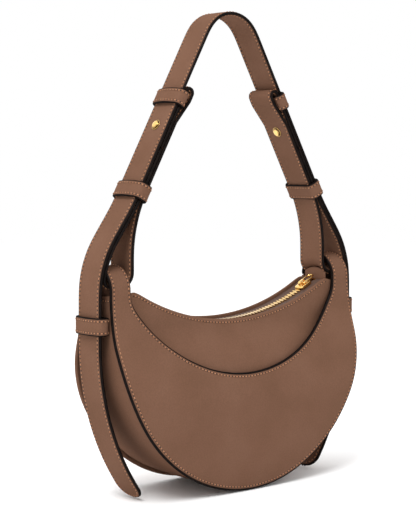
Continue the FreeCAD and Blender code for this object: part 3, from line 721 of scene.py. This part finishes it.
def moon_corners():
    """Profile of the crescent's face, from foot over the arch to the other side."""
    return leaning_wall(0.0, BELLY_BEND, 0.0, ARCH_HALF, AXIS_HEIGHT) + [
        (-ARCH_HALF, AXIS_HEIGHT, -ARCH_HALF),
        (0, AXIS_HEIGHT + ARCH_HALF, -ARCH_HALF),
        (ARCH_HALF, AXIS_HEIGHT, None),
    ]


def panel_corners(inward=0.0):
    """Profile of the panel's face, or of a layer at a depth below it, from foot to zip."""
    return leaning_wall(inward, PANEL_BEND, MOON_STACK, ZIP_HALF, ZIP_DIP) + [
        (-(ZIP_HALF - inward), ZIP_DIP, None),
        (-(ZIP_HALF - inward), AXIS_HEIGHT + ARCH_HALF, None),
    ]


class Wall:
    """A wall that is the same all along X: its profile, and the length along it at a height."""

    def __init__(self, corners, back=False):
        self.line = run(corners)
        rising = np.argmax(self.line.points[:, 1]) + 1
        self.heights = self.line.points[:rising, 1]
        self.lengths = self.line.at[:rising]
        self.flip = -1.0 if back else 1.0

    def at_height(self, z):
        return np.interp(z, self.heights, self.lengths)

    def place(self, x, s, proud=0.0):
        y, z, out_y, out_z = self.line.facing(s)
        out = xyz(0.0, out_y * self.flip, out_z)
        return xyz(x, y * self.flip, lift(z)) + out * np.asarray(proud)[..., None], out


def moon_rims(wall, inset, top):
    """Outer and inner rim of the right half of a crescent, in (x, length along the wall), as lookups by share
    of the way from the bottom to the end of the horn. top is the length at that end, less the inset."""
    foot = BITE_CENTRE - sqrt(BITE_RADIUS ** 2 - HORN_INNER ** 2)
    share = np.hstack([np.linspace(0, BODY_SHARE, 160), np.linspace(BODY_SHARE, 1, 60)[1:]])
    radius = MOON_RADIUS - inset
    outer = run([(0, inset, radius), (radius, MOON_RADIUS, None), (HORN_OUTER - inset, AXIS_HEIGHT, None)])
    outer = outer.points[outer.points[:, 1] <= foot]
    bite = BITE_RADIUS + inset
    angles = np.linspace(0, asin((HORN_INNER + inset) / bite), 120)
    inner = np.transpose([bite * np.sin(angles), BITE_CENTRE - bite * np.cos(angles)])
    lookups = []
    for edge, horn_x in ((outer, HORN_OUTER - inset), (inner, HORN_INNER + inset)):
        line = Path(np.transpose([edge[:, 0], wall.at_height(edge[:, 1])]))
        low = line.spot(np.linspace(0, line.length, 160))
        end_x, end_s = low[-1]
        horn = np.linspace(end_s, top - inset, 60)[1:]
        x = end_x + (horn_x - end_x) * np.clip((horn - horn[0]) / HORN_EASE, 0, 1)
        whole = Path(np.vstack([low, np.transpose([x, horn])])).eased(RIM_EASE)
        lookups.append(whole.spot(share * whole.length))
    return share, lookups


def moon_place(wall, inset, top, seed, proud=0.0):
    """A crescent's face: u from left end to right, -1 to 1, and v from outer rim to inner, 0 to 1."""
    share, rims = moon_rims(wall, inset, top)

    def place(u, v):
        outer, inner = (parts(between(np.abs(u), share, rim)) for rim in rims)
        x, s = outer * (1 - v) + inner * v
        x = np.where(u < 0, -x, x)
        height = wall.line.spot(s)[..., 1]
        body = np.clip((AXIS_HEIGHT - height) / PILLOW_FADE, 0, 1)
        crown = np.clip(4 * v * (1 - v), 0, 1)
        slack = wobble(x, 0.0, height, size=26.0, depth=0.35, seed=seed) * crown
        return wall.place(x, s, body * (PILLOW * np.sqrt(crown) + proud + slack))
    return place


def crescent(side, back, seed):
    """The half-moon layer of one face. The front one's horns run on over the arches."""
    wall = Wall(moon_corners(), back)
    top = wall.at_height(AXIS_HEIGHT) if back else wall.line.length
    piece = Piece("crescent_" + side)
    horn = np.linspace(BODY_SHARE, 1, 36)
    u = np.hstack([-horn[::-1], np.linspace(-BODY_SHARE, BODY_SHARE, 170)[1:-1], horn])
    v = edge_rows(0, 1, 22, (0, 0.012, 0.03, 0.06))
    edge = TAUPE if back else EDGE
    leather(piece, moon_place(wall, MOON_LEATHER / 2, top, seed), u, v, MOON_LEATHER, TAUPE, edge, TAUPE)
    sewn = moon_place(wall, MOON_STITCH_IN, top, seed, STITCH_PROUD)
    for rim in (0.0, 1.0):
        seam(piece, sewn, np.linspace(-1, 1, 1200), rim)
    for end in (-1.0, 1.0):
        for under in (0.0, MOON_LEATHER):
            seam(piece, sewn, end, np.linspace(0.1, 0.9, 24), under)
    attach(piece.done("leather", side + "_crescent"), "bag")


crescent("front", False, 1.0)
crescent("back", True, 2.0)


def zip_edge(x, lower):
    """Height of a panel's top edge: an arc that levels out, then drops to a shelf."""
    arc = ZIP_CENTRE - np.sqrt(ZIP_RADIUS ** 2 - np.minimum(np.abs(x), ZIP_REACH) ** 2)
    near = np.clip(1 - np.abs(arc - ZIP_LEVEL) / ZIP_EASE, 0, 1)
    edge = np.minimum(arc, ZIP_LEVEL) - ZIP_EASE / 4 * near ** 2
    drop = np.clip((np.abs(x) - DROP_AT) / DROP_RUN, 0, 1)
    drop = drop * drop * (3 - 2 * drop)
    return edge * (1 - drop) + END_SHELF * drop - lower


def panel_place(wall, radius, inset, lower, seed):
    """A panel's face: u turns from left side to right, and v runs from foot to zip, 0 to 1."""
    def place(u, v):
        x = (radius - inset) * np.sin(u)
        low = MOON_RADIUS - np.sqrt(np.clip((radius - inset) ** 2 - x ** 2, 0, None))
        z = low + (zip_edge(x, lower) - inset - low) * v
        calm = np.clip((x / radius) ** 8, 0, 1)
        crown = np.clip(4 * v * (1 - v), 0, 1)
        slack = wobble(x, 0.0, z, size=22.0, depth=0.25, seed=seed) * crown * (1 - calm)
        return wall.place(x, wall.at_height(z), np.minimum(slack, PANEL_PROUD))
    return place


def panel(side, back, seed):
    wall = Wall(panel_corners(), back)
    piece = Piece("panel_" + side)
    u = np.linspace(-pi / 2, pi / 2, 150)
    v = np.hstack([np.linspace(0, 0.94, 40), [0.96, 0.975, 0.988, 1]])
    place = panel_place(wall, PANEL_RADIUS, PANEL_LEATHER / 2, 0.0, seed)
    leather(piece, place, u, v, PANEL_LEATHER, TAUPE, TAUPE)
    reach = asin((HORN_INNER - SEAM_SHORT) / PANEL_RADIUS)
    sewn = panel_place(wall, PANEL_RADIUS, STITCH_IN, 0.0, seed)
    seam(piece, sewn, np.linspace(-reach, reach, 700), 1.0)
    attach(piece.done("leather", side + "_panel"), "bag")


panel("front", False, 3.0)
panel("back", True, 4.0)


def lining(side, back):
    wall = Wall(panel_corners(PANEL_LEATHER + SEAM_GAP), back)
    piece = Piece("lining_" + side)
    place = panel_place(wall, PANEL_RADIUS - LINING_IN, LINING_CLOTH / 2, LINING_DROP, 5.0)
    u = np.linspace(-pi / 2, pi / 2, 80)
    leather(piece, place, u, np.linspace(0, 1, 24), LINING_CLOTH, LINING, LINING)
    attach(piece.done("lining", side + "_lining"), "bag")


lining("front", False)
lining("back", True)


def pocket_place(u, v):
    wall = Wall(panel_corners(PANEL_LEATHER + LINING_CLOTH + 2 * SEAM_GAP), True)
    return wall.place(u, wall.at_height(v))


pocket = Piece("slip_pocket")
u = np.linspace(-POCKET_HALF, POCKET_HALF, 40)
v = np.linspace(POCKET_LOW, POCKET_TOP, 20)
leather(pocket, pocket_place, u, v, LINING_CLOTH, LINING, LINING)
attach(pocket.done("lining", "inner_pocket"), "bag")


def gusset(name, node, radius, top, thick, wall, shrink, face, slot):
    """A strip down one side, round the bottom and up the other, as deep as the wall says, less a margin."""
    high = top - thick / 2
    line = run([(radius, high, None), (radius, MOON_RADIUS, -radius), (0, MOON_RADIUS - radius, -radius),
                (-radius, MOON_RADIUS, None), (-radius, high, None)])

    def place(u, v):
        x, z, out_x, out_z = line.facing(u)
        y = (np.abs(wall.line.spot(wall.at_height(z))[..., 0]) - shrink - thick / 2) * v
        out = xyz(out_x, 0.0, out_z)
        bulge = BULGE * np.clip((HEM_HEIGHT - BULGE_DROP - z) / BULGE_FADE, 0, 1)
        proud = (bulge + wobble(x, y, z, size=17.0, depth=0.4, seed=6.0)) * (1 - v ** 2)
        return xyz(x, y, lift(z)) + out * proud[..., None], out

    piece = Piece(name)
    v = edge_rows(-1, 1, 26, (0, 0.03, 0.08, 0.14))
    leather(piece, place, np.linspace(0, line.length, 190), v, thick, face, face)
    if face is TAUPE:
        for end in (STITCH_IN, line.length - STITCH_IN):
            seam(piece, place, end, np.linspace(-0.97, 0.97, 80))
    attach(piece.done(slot, node), "bag")


gusset("gusset_strip", "gusset", GUSSET_RADIUS, HEM_TOP, GUSSET_LEATHER, Wall(moon_corners()),
       MOON_STACK + SEAM_GAP, TAUPE, "leather")
gusset("gusset_lining_strip", "gusset_lining", PANEL_RADIUS, HEM_HEIGHT - LINING_DROP, LINING_CLOTH,
       Wall(panel_corners(PANEL_LEATHER + SEAM_GAP)), SEAM_GAP, LINING, "lining")


def end_piece(name, face, low, side_top, crown):
    """A leather piece across an end of the zip, at a distance from the middle, its top a low crown."""
    piece = Piece(name)
    soft = TAB_LEATHER / 2
    half = ZIP_HALF - PANEL_LEATHER - LINING_CLOTH - 2 * SEAM_GAP - soft

    def place(u, v):
        top = side_top + crown * (1 - (u / half) ** 2)
        return xyz(face, u, lift(low + (top - low) * v)), xyz(1.0, 0 * u, 0.0)

    leather(piece, place, edge_rows(-half, half, 14), np.linspace(0, 1, 16), TAB_LEATHER, TAUPE, TAUPE)
    sewn = 1 - (STITCH_IN - soft) / (side_top + crown - low)
    seam(piece, place, np.linspace(soft - half, half - soft, 40), sewn)
    return piece


# The zip's end tabs and the gusset's facings
TAB_LOW = TAB_HEIGHT - TAB_DEPTH + TAB_LEATHER / 2
FACING_LOW = HEM_HEIGHT - LINING_DROP + TAB_LEATHER / 2 + SEAM_GAP
for name, node, face, low, top, crown in (
        ("zip_end_tab", "tab_", HORN_INNER, TAB_LOW, TAB_TOP, TAB_CROWN),
        ("gusset_facing", None, PANEL_RADIUS, FACING_LOW, FACING_TOP, FACING_CROWN)):
    for piece, side in end_piece(name, face, low, top, crown).pair():
        nodes = [node + side] if node else []
        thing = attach(piece.done("leather", *nodes), "bag")
        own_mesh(thing)


def tape(side, way):
    piece = Piece("tape_" + side)
    soft = TAPE_CLOTH / 2
    radius = CHAIN_RADIUS - soft

    def place(u, v):
        at = xyz(radius * np.sin(u), way * v, lift(ZIP_CENTRE - radius * np.cos(u)))
        return at, xyz(-np.sin(u), 0.0, np.cos(u))

    v = np.linspace(TAPE_IN + soft, ZIP_HALF - PANEL_LEATHER - SEAM_GAP - soft, 10)
    leather(piece, place, np.linspace(-ZIP_ANGLE, ZIP_ANGLE, 140), v, TAPE_CLOTH, TAPE, TAPE)
    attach(piece.done("tape", "zip_tape_" + side), "bag")


tape("front", -1.0)
tape("back", 1.0)


# Straps

def leg(out, along):
    """A spot on the strap's right leg, at a height above the seat's centre line and a distance down."""
    return (out * COS_LEG + along * SIN_LEG, out * SIN_LEG - along * COS_LEG)


def about(x, z, radius, tilt=STRAP_ANGLE):
    """Where an arc that starts upright has come round to a tilt."""
    return (x + radius * cos(tilt), z + radius * sin(tilt))


def strap_place(line, inset, tip, bowed):
    """A strap's face along a line seen from the front, less an inset. Its far end is square, or has round
    corners of a radius, its tip. A bowed one follows the round of an arch across its lowest stretch."""
    lowest = line.points[:, 1].min()
    radius = (tip or inset) - inset

    def place(u, v):
        x, z, out_x, out_z = line.facing(u)
        left = np.clip(line.length - inset - u, 0, radius)
        corner = radius - np.sqrt(np.clip(radius ** 2 - (radius - left) ** 2, 0, None))
        rise = np.clip((z - lowest) / BOW_RISE, 0, 1)
        swell = SWELL - (BOW * (1 - rise) ** 2 if bowed else 0.0)
        out = xyz(out_x, 0.0, out_z)
        at = xyz(x, (STRAP_WIDTH / 2 - inset - corner) * v, z)
        return at + out * (swell * (1 - v ** 2))[..., None], out
    return place


def strap(name, line, tip=None, bowed=False):
    """A strap with rounded painted edges, sewn along both sides of both faces, and round the tip."""
    def round_end(inset, count):
        return line.length - inset - (tip - inset) * (1 - np.sin(np.linspace(0, pi / 2, count)))

    inset = PLY / 2
    straight = line.length - (tip + TIP_ROOM if tip else inset)
    u = np.linspace(inset, straight, max(int(line.length / STRAP_STEP), 30))
    end = line.length - (STITCH_IN if tip else 0)
    along = np.linspace(0, end, int(end / SEWN_STEP))
    rows = [(along, -1.0), (along, 1.0)]
    if tip:
        u = np.hstack([u, round_end(inset, 16)])
        turn = round_end(STITCH_IN, 40)
        along = np.hstack([along[along < turn[0]], turn])
        rows = [(np.hstack([along, along[::-1]]), np.repeat([-1.0, 1.0], len(along)))]
    piece = Piece(name)
    v = edge_rows(-1, 1, 11, (0, 0.06, 0.15, 0.28))
    leather(piece, strap_place(line, inset, tip, bowed), u, v, PLY, TAUPE, EDGE)
    sewn = strap_place(line, STITCH_IN, tip, bowed)
    for under in (0.0, PLY):
        for along, side in rows:
            seam(piece, sewn, along, side, under)
    return piece


BEND_X = BELT_FACE - BELT_BEND
BEND_Z = LEG_RISE - SEAT_RISE


def belt_line():
    """Outer face of the belt from the left side keeper over the apex to the right one."""
    out = APEX_RADIUS + PLY
    turn = BELT_BEND + PLY
    right = [
        (*leg(out, 0), None), (*leg(out, FLARE_AT), None),
        (*about(BEND_X, BEND_Z, turn, FLARE_ANGLE), -turn),
        (BEND_X + turn, BEND_Z, None), (BEND_X + turn, lift(SIDE_KEEPER_AT), None),
    ]
    bends = [None, -turn, None, None, -out]
    left = [(-x, z, bend) for (x, z, unused), bend in zip(right[::-1], bends)]
    return run(left + [(0, out, -out)] + right).eased(BELT_EASE)


belt = strap("belt", belt_line()).done("leather", "shoulder_belt", "belt_side_left", "belt_side_right")
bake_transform(belt)


KNEE = lift(SIDE_KEEPER_AT - KEEPER_HIGH / 2)


def tail_line():
    """Outer face of the right tail from inside the side keeper down to its tip."""
    bend_z = KNEE - PLY_GAP - PLY / 2 - 2 * PLY
    radius = TAIL_BEND + PLY
    x = BELT_FACE - TAIL_BEND
    return run([
        (x + radius, lift(SIDE_KEEPER_AT - TAIL_IN), None), (x + radius, bend_z, -radius),
        (*about(x, bend_z, radius, -TAIL_TURN), None),
    ])


for piece, side in strap("tail_strap", tail_line(), TAIL_TIP).pair():
    tail = piece.done("leather", "tail_" + side)
    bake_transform(tail)


def loop_line():
    """Outer face of the right loop: down beside the belt, under the arch, up and round the upper keeper."""
    under = LOOP_LIFT - SEAT_RISE - PLY / 2
    turn = BELT_BEND - PLY_GAP
    corner_tilt = asin((under + PLY + LOOP_CORNER - BEND_Z) / turn)
    mid_out = APEX_RADIUS - PLY_GAP
    fold_out = mid_out - PLY
    bulge_in = fold_out - FOLD_ROOM - PLY
    fold_turn = FOLD_ROOM / 2 + PLY
    inner_turn = LEG_BEND - PLY
    return run([
        (*leg(mid_out, SPLICE_AT + PLY_GAP / 2), None), (*leg(mid_out, FLARE_AT), None),
        (*about(BEND_X, BEND_Z, turn, FLARE_ANGLE), -turn),
        (*about(BEND_X, BEND_Z, turn, corner_tilt), -(LOOP_CORNER + PLY)),
        (OUTER_LEG_FACE - LOOP_CORNER, under, None), (INNER_LEG_FACE + LOOP_SAG, under, -(LOOP_SAG + PLY)),
        (INNER_LEG_FACE - PLY, under + PLY + LOOP_SAG, None), (INNER_LEG_FACE - PLY, INNER_LEG_Z, inner_turn),
        (*about(INNER_LEG_FACE - LEG_BEND, INNER_LEG_Z, inner_turn), None),
        (*leg(STRAND_FACE - PLY, FOLD_START), None), (*leg(bulge_in, FOLD_START - BULGE_RUN), None),
        (*leg(bulge_in, FOLD_AT + fold_turn), -fold_turn),
        (*leg(fold_out - FOLD_ROOM / 2, FOLD_AT), -fold_turn),
        (*leg(mid_out, FOLD_AT + fold_turn), None), (*leg(mid_out, SPLICE_AT - PLY_GAP / 2), None),
    ])


for piece, side in strap("loop", loop_line(), bowed=True).pair():
    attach(piece.done("leather", "loop_strap_" + side), "strap")


# Keepers

def keeper(name, low, high, put):
    """A band round a strap's width, from low to high, with soft corners, sewn along both edges."""
    corner = KEEPER_CORNER
    a0 = low - KEEPER_LEATHER
    a1 = high + KEEPER_LEATHER
    b = STRAP_WIDTH / 2 + KEEPER_EASE + KEEPER_LEATHER
    line = run([
        (a0, -b + corner, None), (a0, b - corner, -corner), (a0 + corner, b, None), (a1 - corner, b, -corner),
        (a1, b - corner, -KEEPER_BOW), (a1, -b + corner, -corner), (a1 - corner, -b, None),
        (a0 + corner, -b, -corner), (a0, -b + corner, None),
    ], joined=True)

    def place(u, v):
        return put(v, *line.facing(u, reach=0.6))

    piece = Piece(name)
    u = np.linspace(0, line.length, 121)[:-1]
    reach = (KEEPER_HIGH - KEEPER_LEATHER) / 2
    v = edge_rows(-reach, reach, 6, (0.0, 0.7, 1.6, 2.6))
    leather(piece, place, u, v, KEEPER_LEATHER, TAUPE, EDGE, looped=True)
    for side in (-1.0, 1.0):
        seam(piece, place, np.linspace(0, line.length, 260), side * (KEEPER_HIGH / 2 - KEEPER_STITCH_IN))
    return piece


def on_leg(along):
    """Puts a keeper's section on the leg, at a distance down it."""
    def put(v, a, b, out_a, out_b):
        x, z = leg(a, along - v)
        return xyz(x, b, z), xyz(out_a * COS_LEG, out_b, out_a * SIN_LEG)
    return put


def beside_bag(v, a, b, out_a, out_b):
    """Puts a keeper's section beside the bag."""
    return xyz(a, b, lift(SIDE_KEEPER_AT) + v), xyz(out_a, out_b, 0.0)


KEEPER_TOP = APEX_RADIUS + PLY + KEEPER_EASE
SIDE_LOW = GUSSET_RADIUS + SEAM_GAP + KEEPER_LEATHER
SIDE_TOP = BELT_FACE + PLY + KEEPER_EASE
for name, low, high, put, body in (
        ("upper_keeper", STRAND_FACE + PLY_GAP - KEEPER_EASE, KEEPER_TOP, on_leg(UPPER_KEEPER_AT), "strap"),
        ("lower_keeper", STRAND_FACE - PLY - KEEPER_EASE, KEEPER_TOP, on_leg(LOWER_KEEPER_AT), None),
        ("side_keeper", SIDE_LOW, SIDE_TOP, beside_bag, "bag")):
    for piece, side in keeper(name + "_band", low, high, put).pair():
        node = name + "_" + side
        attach(piece.done("leather", node), body or node)


# Hardware: turned studs, a rounded slider and pull, and the zip's own teeth and stops in gold

def loft(piece, rings, rim=0.0, joined=False):
    """A gold skin over rings of points, whose rim values are painted shade."""
    piece.add(rings, tube_faces(len(rings), len(rings[0]), joined), GOLD, rim)


def studs():
    """Turned posts and screws, from (height off the leg's line, radius, painted shade). Each has a domed head
    with a bead round its foot and a groove between the two. The groove and the bead's underside carry painted
    shade, and the dome darkens towards its foot as a painted dark reflection."""
    bead = STUD_BEAD
    high = STUD_DOME - 2 * bead
    wide = STUD_HEAD - 1.8 * bead
    dome = []
    # Painted dark reflection: the dome darkens towards its foot.
    for a in np.linspace(0.02, pi / 2, 16):
        dark = np.clip((a - 0.75) / 0.5, 0, 1)
        dome.append((2 * bead + high * cos(a), wide * sin(a), dark))
    # Painted shade: the groove between dome and bead, and the bead, darkest on its underside.
    dome.append((1.4 * bead, STUD_HEAD - 1.9 * bead, 1.0))
    for a in np.linspace(1.4, -1.4, 11):
        dark = np.clip(0.9 - 0.6 * a, 0.4, 1)
        dome.append((bead + bead * sin(a), STUD_HEAD - bead + bead * cos(a), dark))
    face = APEX_RADIUS + PLY + STUD_ROOM
    inside = STRAND_FACE - PLY - STUD_ROOM
    post = [(face + h, radius, dark) for h, radius, dark in dome]
    post += [(face, STUD_POST, 1.0), (inside, STUD_POST, 1.0), (inside, STUD_SHANK + BORE_ROOM, 1.0)]
    screw = [(inside - h, radius, dark) for h, radius, dark in dome]
    screw += [(inside, STUD_SHANK, 1.0), (APEX_RADIUS, STUD_SHANK, 1.0), (APEX_RADIUS, 0.02, 1.0)]
    x, z = leg(0.0, STUD_AT)
    cosine, sine = circle(48)
    hoop = xyz(SIN_LEG * cosine, sine, -COS_LEG * cosine)
    for name, profile in (("stud_post", post), ("stud_screw", screw)):
        right = Piece(name + "_turned")
        rings = [xyz(x + COS_LEG * h, 0.0, z + SIN_LEG * h) + hoop * radius for h, radius, dark in profile]
        loft(right, rings, np.repeat([dark for h, radius, dark in profile], len(hoop)))
        for piece, side in right.pair():
            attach(piece.done("metal", name + "_" + side), "strap")


studs()


def on_slider(x, y, z):
    """Points in the slider's own frame: along the chain, across it, and up from its middle."""
    cosine = cos(SLIDER_ANGLE)
    sine = sin(SLIDER_ANGLE)
    right = CHAIN_RADIUS * sine + x * cosine - z * sine
    return xyz(right, y, lift(ZIP_CENTRE - CHAIN_RADIUS * cosine) + x * sine + z * cosine)


def plate(piece, way):
    """The slider's upper or lower plate: a domed back, rounded ends and lips that reach for the tape."""
    half_long = SLIDER_LONG / 2
    rings = []
    for x in half_long * np.sin(np.linspace(-pi / 2, pi / 2, 33)):
        nose = max(abs(x) - half_long + NOSE_LONG, 0) / NOSE_LONG
        wide = SLIDER_WIDE / 2 - NOSE_WIDE * (1 - sqrt(1 - min(nose, 1) ** 2))
        top = SLIDER_HIGH / 2 - NOSE_DROP * nose ** 3
        lip = CHAIN_ROOM - (CHAIN_ROOM - TAPE_ROOM) * np.clip((wide - TOOTH_ROOM) / LIP_RUN, 0, 1)
        room = min(TOOTH_ROOM, wide - LIP_SOFT)
        back = [(y, top + SLIDER_DOME * (1 - (y / wide) ** 2))
                for y in np.linspace(SLIDER_SOFT - wide, wide - SLIDER_SOFT, 11)]
        edge = [(wide - SLIDER_BEVEL, top - SLIDER_BEVEL), (wide, top - SLIDER_SOFT), (wide, lip + LIP_SOFT),
                (wide - LIP_SOFT, lip), (room, lip), (room, CHAIN_ROOM)]
        y, z = np.transpose(back + edge + [(-a, b) for a, b in edge[::-1]])
        rings.append(on_slider(x, y, way * z))
    loft(piece, rings)


def slider():
    """Two plates, the wedge between them and the crown that holds the pull."""
    piece = Piece("zip_slider_body")
    for way in (1, -1):
        plate(piece, way)
    turn = circle(24)
    foot = SLIDER_HIGH / 2 - CROWN_SUNK
    x = WEDGE_MIDDLE + WEDGE_LONG / 2 * turn[0]
    loft(piece, [on_slider(x, WEDGE_HALF * turn[1], z) for z in (-foot, foot)])
    rear = CROWN_METAL / 2 - CROWN_REAR
    front = CROWN_FRONT - CROWN_METAL / 2
    high = SLIDER_HIGH / 2 + CROWN_HIGH - CROWN_METAL / 2
    bend = CROWN_BEND
    arch = run([(rear, foot, None), (rear, high - bend, -bend), (rear + bend, high, None),
                (front - bend, high, -bend), (front, high - bend, None), (front, foot, None)])
    aside, thick = np.sign(turn) * np.abs(turn) ** CROWN_SQUARE * [[CROWN_WIDE / 2], [CROWN_METAL / 2]]
    rings = []
    for s in np.linspace(0, arch.length, 48):
        x, z, out_x, out_z = arch.facing(s, reach=0.3)
        rings.append(on_slider(x + out_x * thick, aside, z + out_z * thick))
    loft(piece, rings)
    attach(piece.done("metal", "zip_slider"), "zip_slider")


def pull():
    """A rounded bow that closes in a pin under the slider's crown."""
    piece = Piece("zip_pull_bow")
    half = (PULL_WIDE - PULL_METAL) / 2
    far = PULL_LONG - (PULL_WIDE + PULL_METAL) / 2
    bend = PULL_BEND
    line = run([
        (bend, -half, None), (far, -half, half), (far + half, 0, half), (far, half, None), (bend, half, bend),
        (0, half - bend, None), (0, bend - half, bend), (bend, -half, None),
    ], joined=True)
    aside, up = circle(16) * [[PULL_METAL / 2], [PULL_THICK / 2]]
    rings = []
    for s in np.linspace(0, line.length, 111)[:-1]:
        x, y, out_x, out_y = line.facing(s, reach=0.3)
        rings.append(on_slider(PIN_X + x + out_x * aside, y + out_y * aside, PIN_Z + up))
    loft(piece, rings, joined=True)
    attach(piece.done("metal", "zip_pull"), "zip_pull")


slider()
pull()
for node in ("zip_teeth_front", "zip_teeth_back", "zip_stops"):
    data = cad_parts[node].data
    data.materials.clear()
    data.materials.append(GOLD)


# Floor, light and camera

FLOOR_GAP = 0.4
FLOOR_RINGS = (1.0, 500.0, 1000.0, 2000.0, 3000.0, 4000.0)
FLOOR_REACH = 5000.0
WALL_BEND = 1000.0
WALL_HIGH = 1500.0
FADE_REACH = 4.0
BAG_MIDDLE = Vector((0.0, 0.0, -0.16))


def pale_floor(tree):
    """A pale surface that fades to white light away from the bag."""
    away = add_node(tree, "VectorMath", {0: spots(tree)}, operation="LENGTH").outputs["Value"]
    away = maths(tree, "DIVIDE", away, FADE_REACH)
    fade = ramp(tree, away, [(0.25, 1.0), (0.8, 0.0)])
    return {
        "Base Color": mix(tree, 1.0, mottle(tree, 3.0, 0.93, 0.96), fade, "MULTIPLY"),
        "Emission Color": ramp(tree, away, [(0.25, 0.0), (0.8, 1.0)]),
        "Emission Strength": 1.0, "Roughness": 0.9, "Specular IOR Level": 0.0,
    }


def floor():
    """A round floor that runs up into a low wall."""
    ground = lift(-FLOOR_GAP)
    profile = [(r, ground) for r in FLOOR_RINGS]
    profile += [(FLOOR_REACH + WALL_BEND * sin(a), ground + WALL_BEND * (1 - cos(a)))
                for a in np.linspace(0, pi / 2, 9)]
    profile.append((FLOOR_REACH + WALL_BEND, ground + WALL_HIGH))
    x, y = circle(96)
    piece = Piece("floor")
    faces = grid_faces(len(profile), len(x), round_columns=True) + [list(range(len(x)))]
    piece.add([xyz(r * x, r * y, z) for r, z in profile], faces, material(pale_floor))
    piece.build()


def sky():
    """A grey studio, lighter above and behind the bag than in front."""
    world = bpy.data.worlds.new("studio")
    world.use_nodes = True
    tree = world.node_tree
    way = add_node(tree, "SeparateXYZ", {"Vector": add_node(tree, "TexCoord").outputs["Generated"]}).outputs
    behind = maths(tree, "MULTIPLY", way["Y"], 0.5)
    above = maths(tree, "MULTIPLY", way["Z"], 0.6)
    share = maths(tree, "ADD", maths(tree, "ADD", behind, above), 0.45)
    tone = ramp(tree, share, [(0.15, 0.26), (0.62, 0.70), (1.0, 1.0)])
    background = tree.nodes["Background"].inputs
    feed(background["Color"], tone)
    feed(background["Strength"], 1.4)
    bpy.context.scene.world = world
    bpy.context.scene.view_settings.view_transform = "Standard"


def lamp(name, where, wide, high, watts):
    """A rectangle of light that faces the bag, its place and size in metres."""
    light = bpy.data.lights.new(name, "AREA")
    light.shape = "RECTANGLE"
    light.size = wide
    light.size_y = high
    light.energy = watts
    thing = new_object(name, light)
    thing.location = where
    thing.rotation_euler = (BAG_MIDDLE - Vector(where)).to_track_quat("-Z", "Y").to_euler()


def camera():
    """The photograph's viewpoint: level and to the left, looking past the bag's axis."""
    angle = radians(40.0)
    distance = 1138.0
    eye = 250.6
    behind = 5.0
    data = bpy.data.cameras.new("camera")
    data.sensor_fit = "VERTICAL"
    data.sensor_height = 36.0
    data.lens = 102.0
    data.shift_x = -0.0195
    data.shift_y = -0.2
    data.clip_end = 50.0
    thing = new_object("camera", data)
    thing.location = xyz(-distance * sin(angle), behind - distance * cos(angle), lift(eye)) * MM
    thing.rotation_euler = (pi / 2, 0, -angle)
    bpy.context.scene.camera = thing


floor()
sky()
lamp("key", (-1.2, -0.7, 1.7), 0.9, 0.9, 34.0)
lamp("fill", (0.1, -1.9, 0.5), 1.6, 1.2, 5.0)
camera()
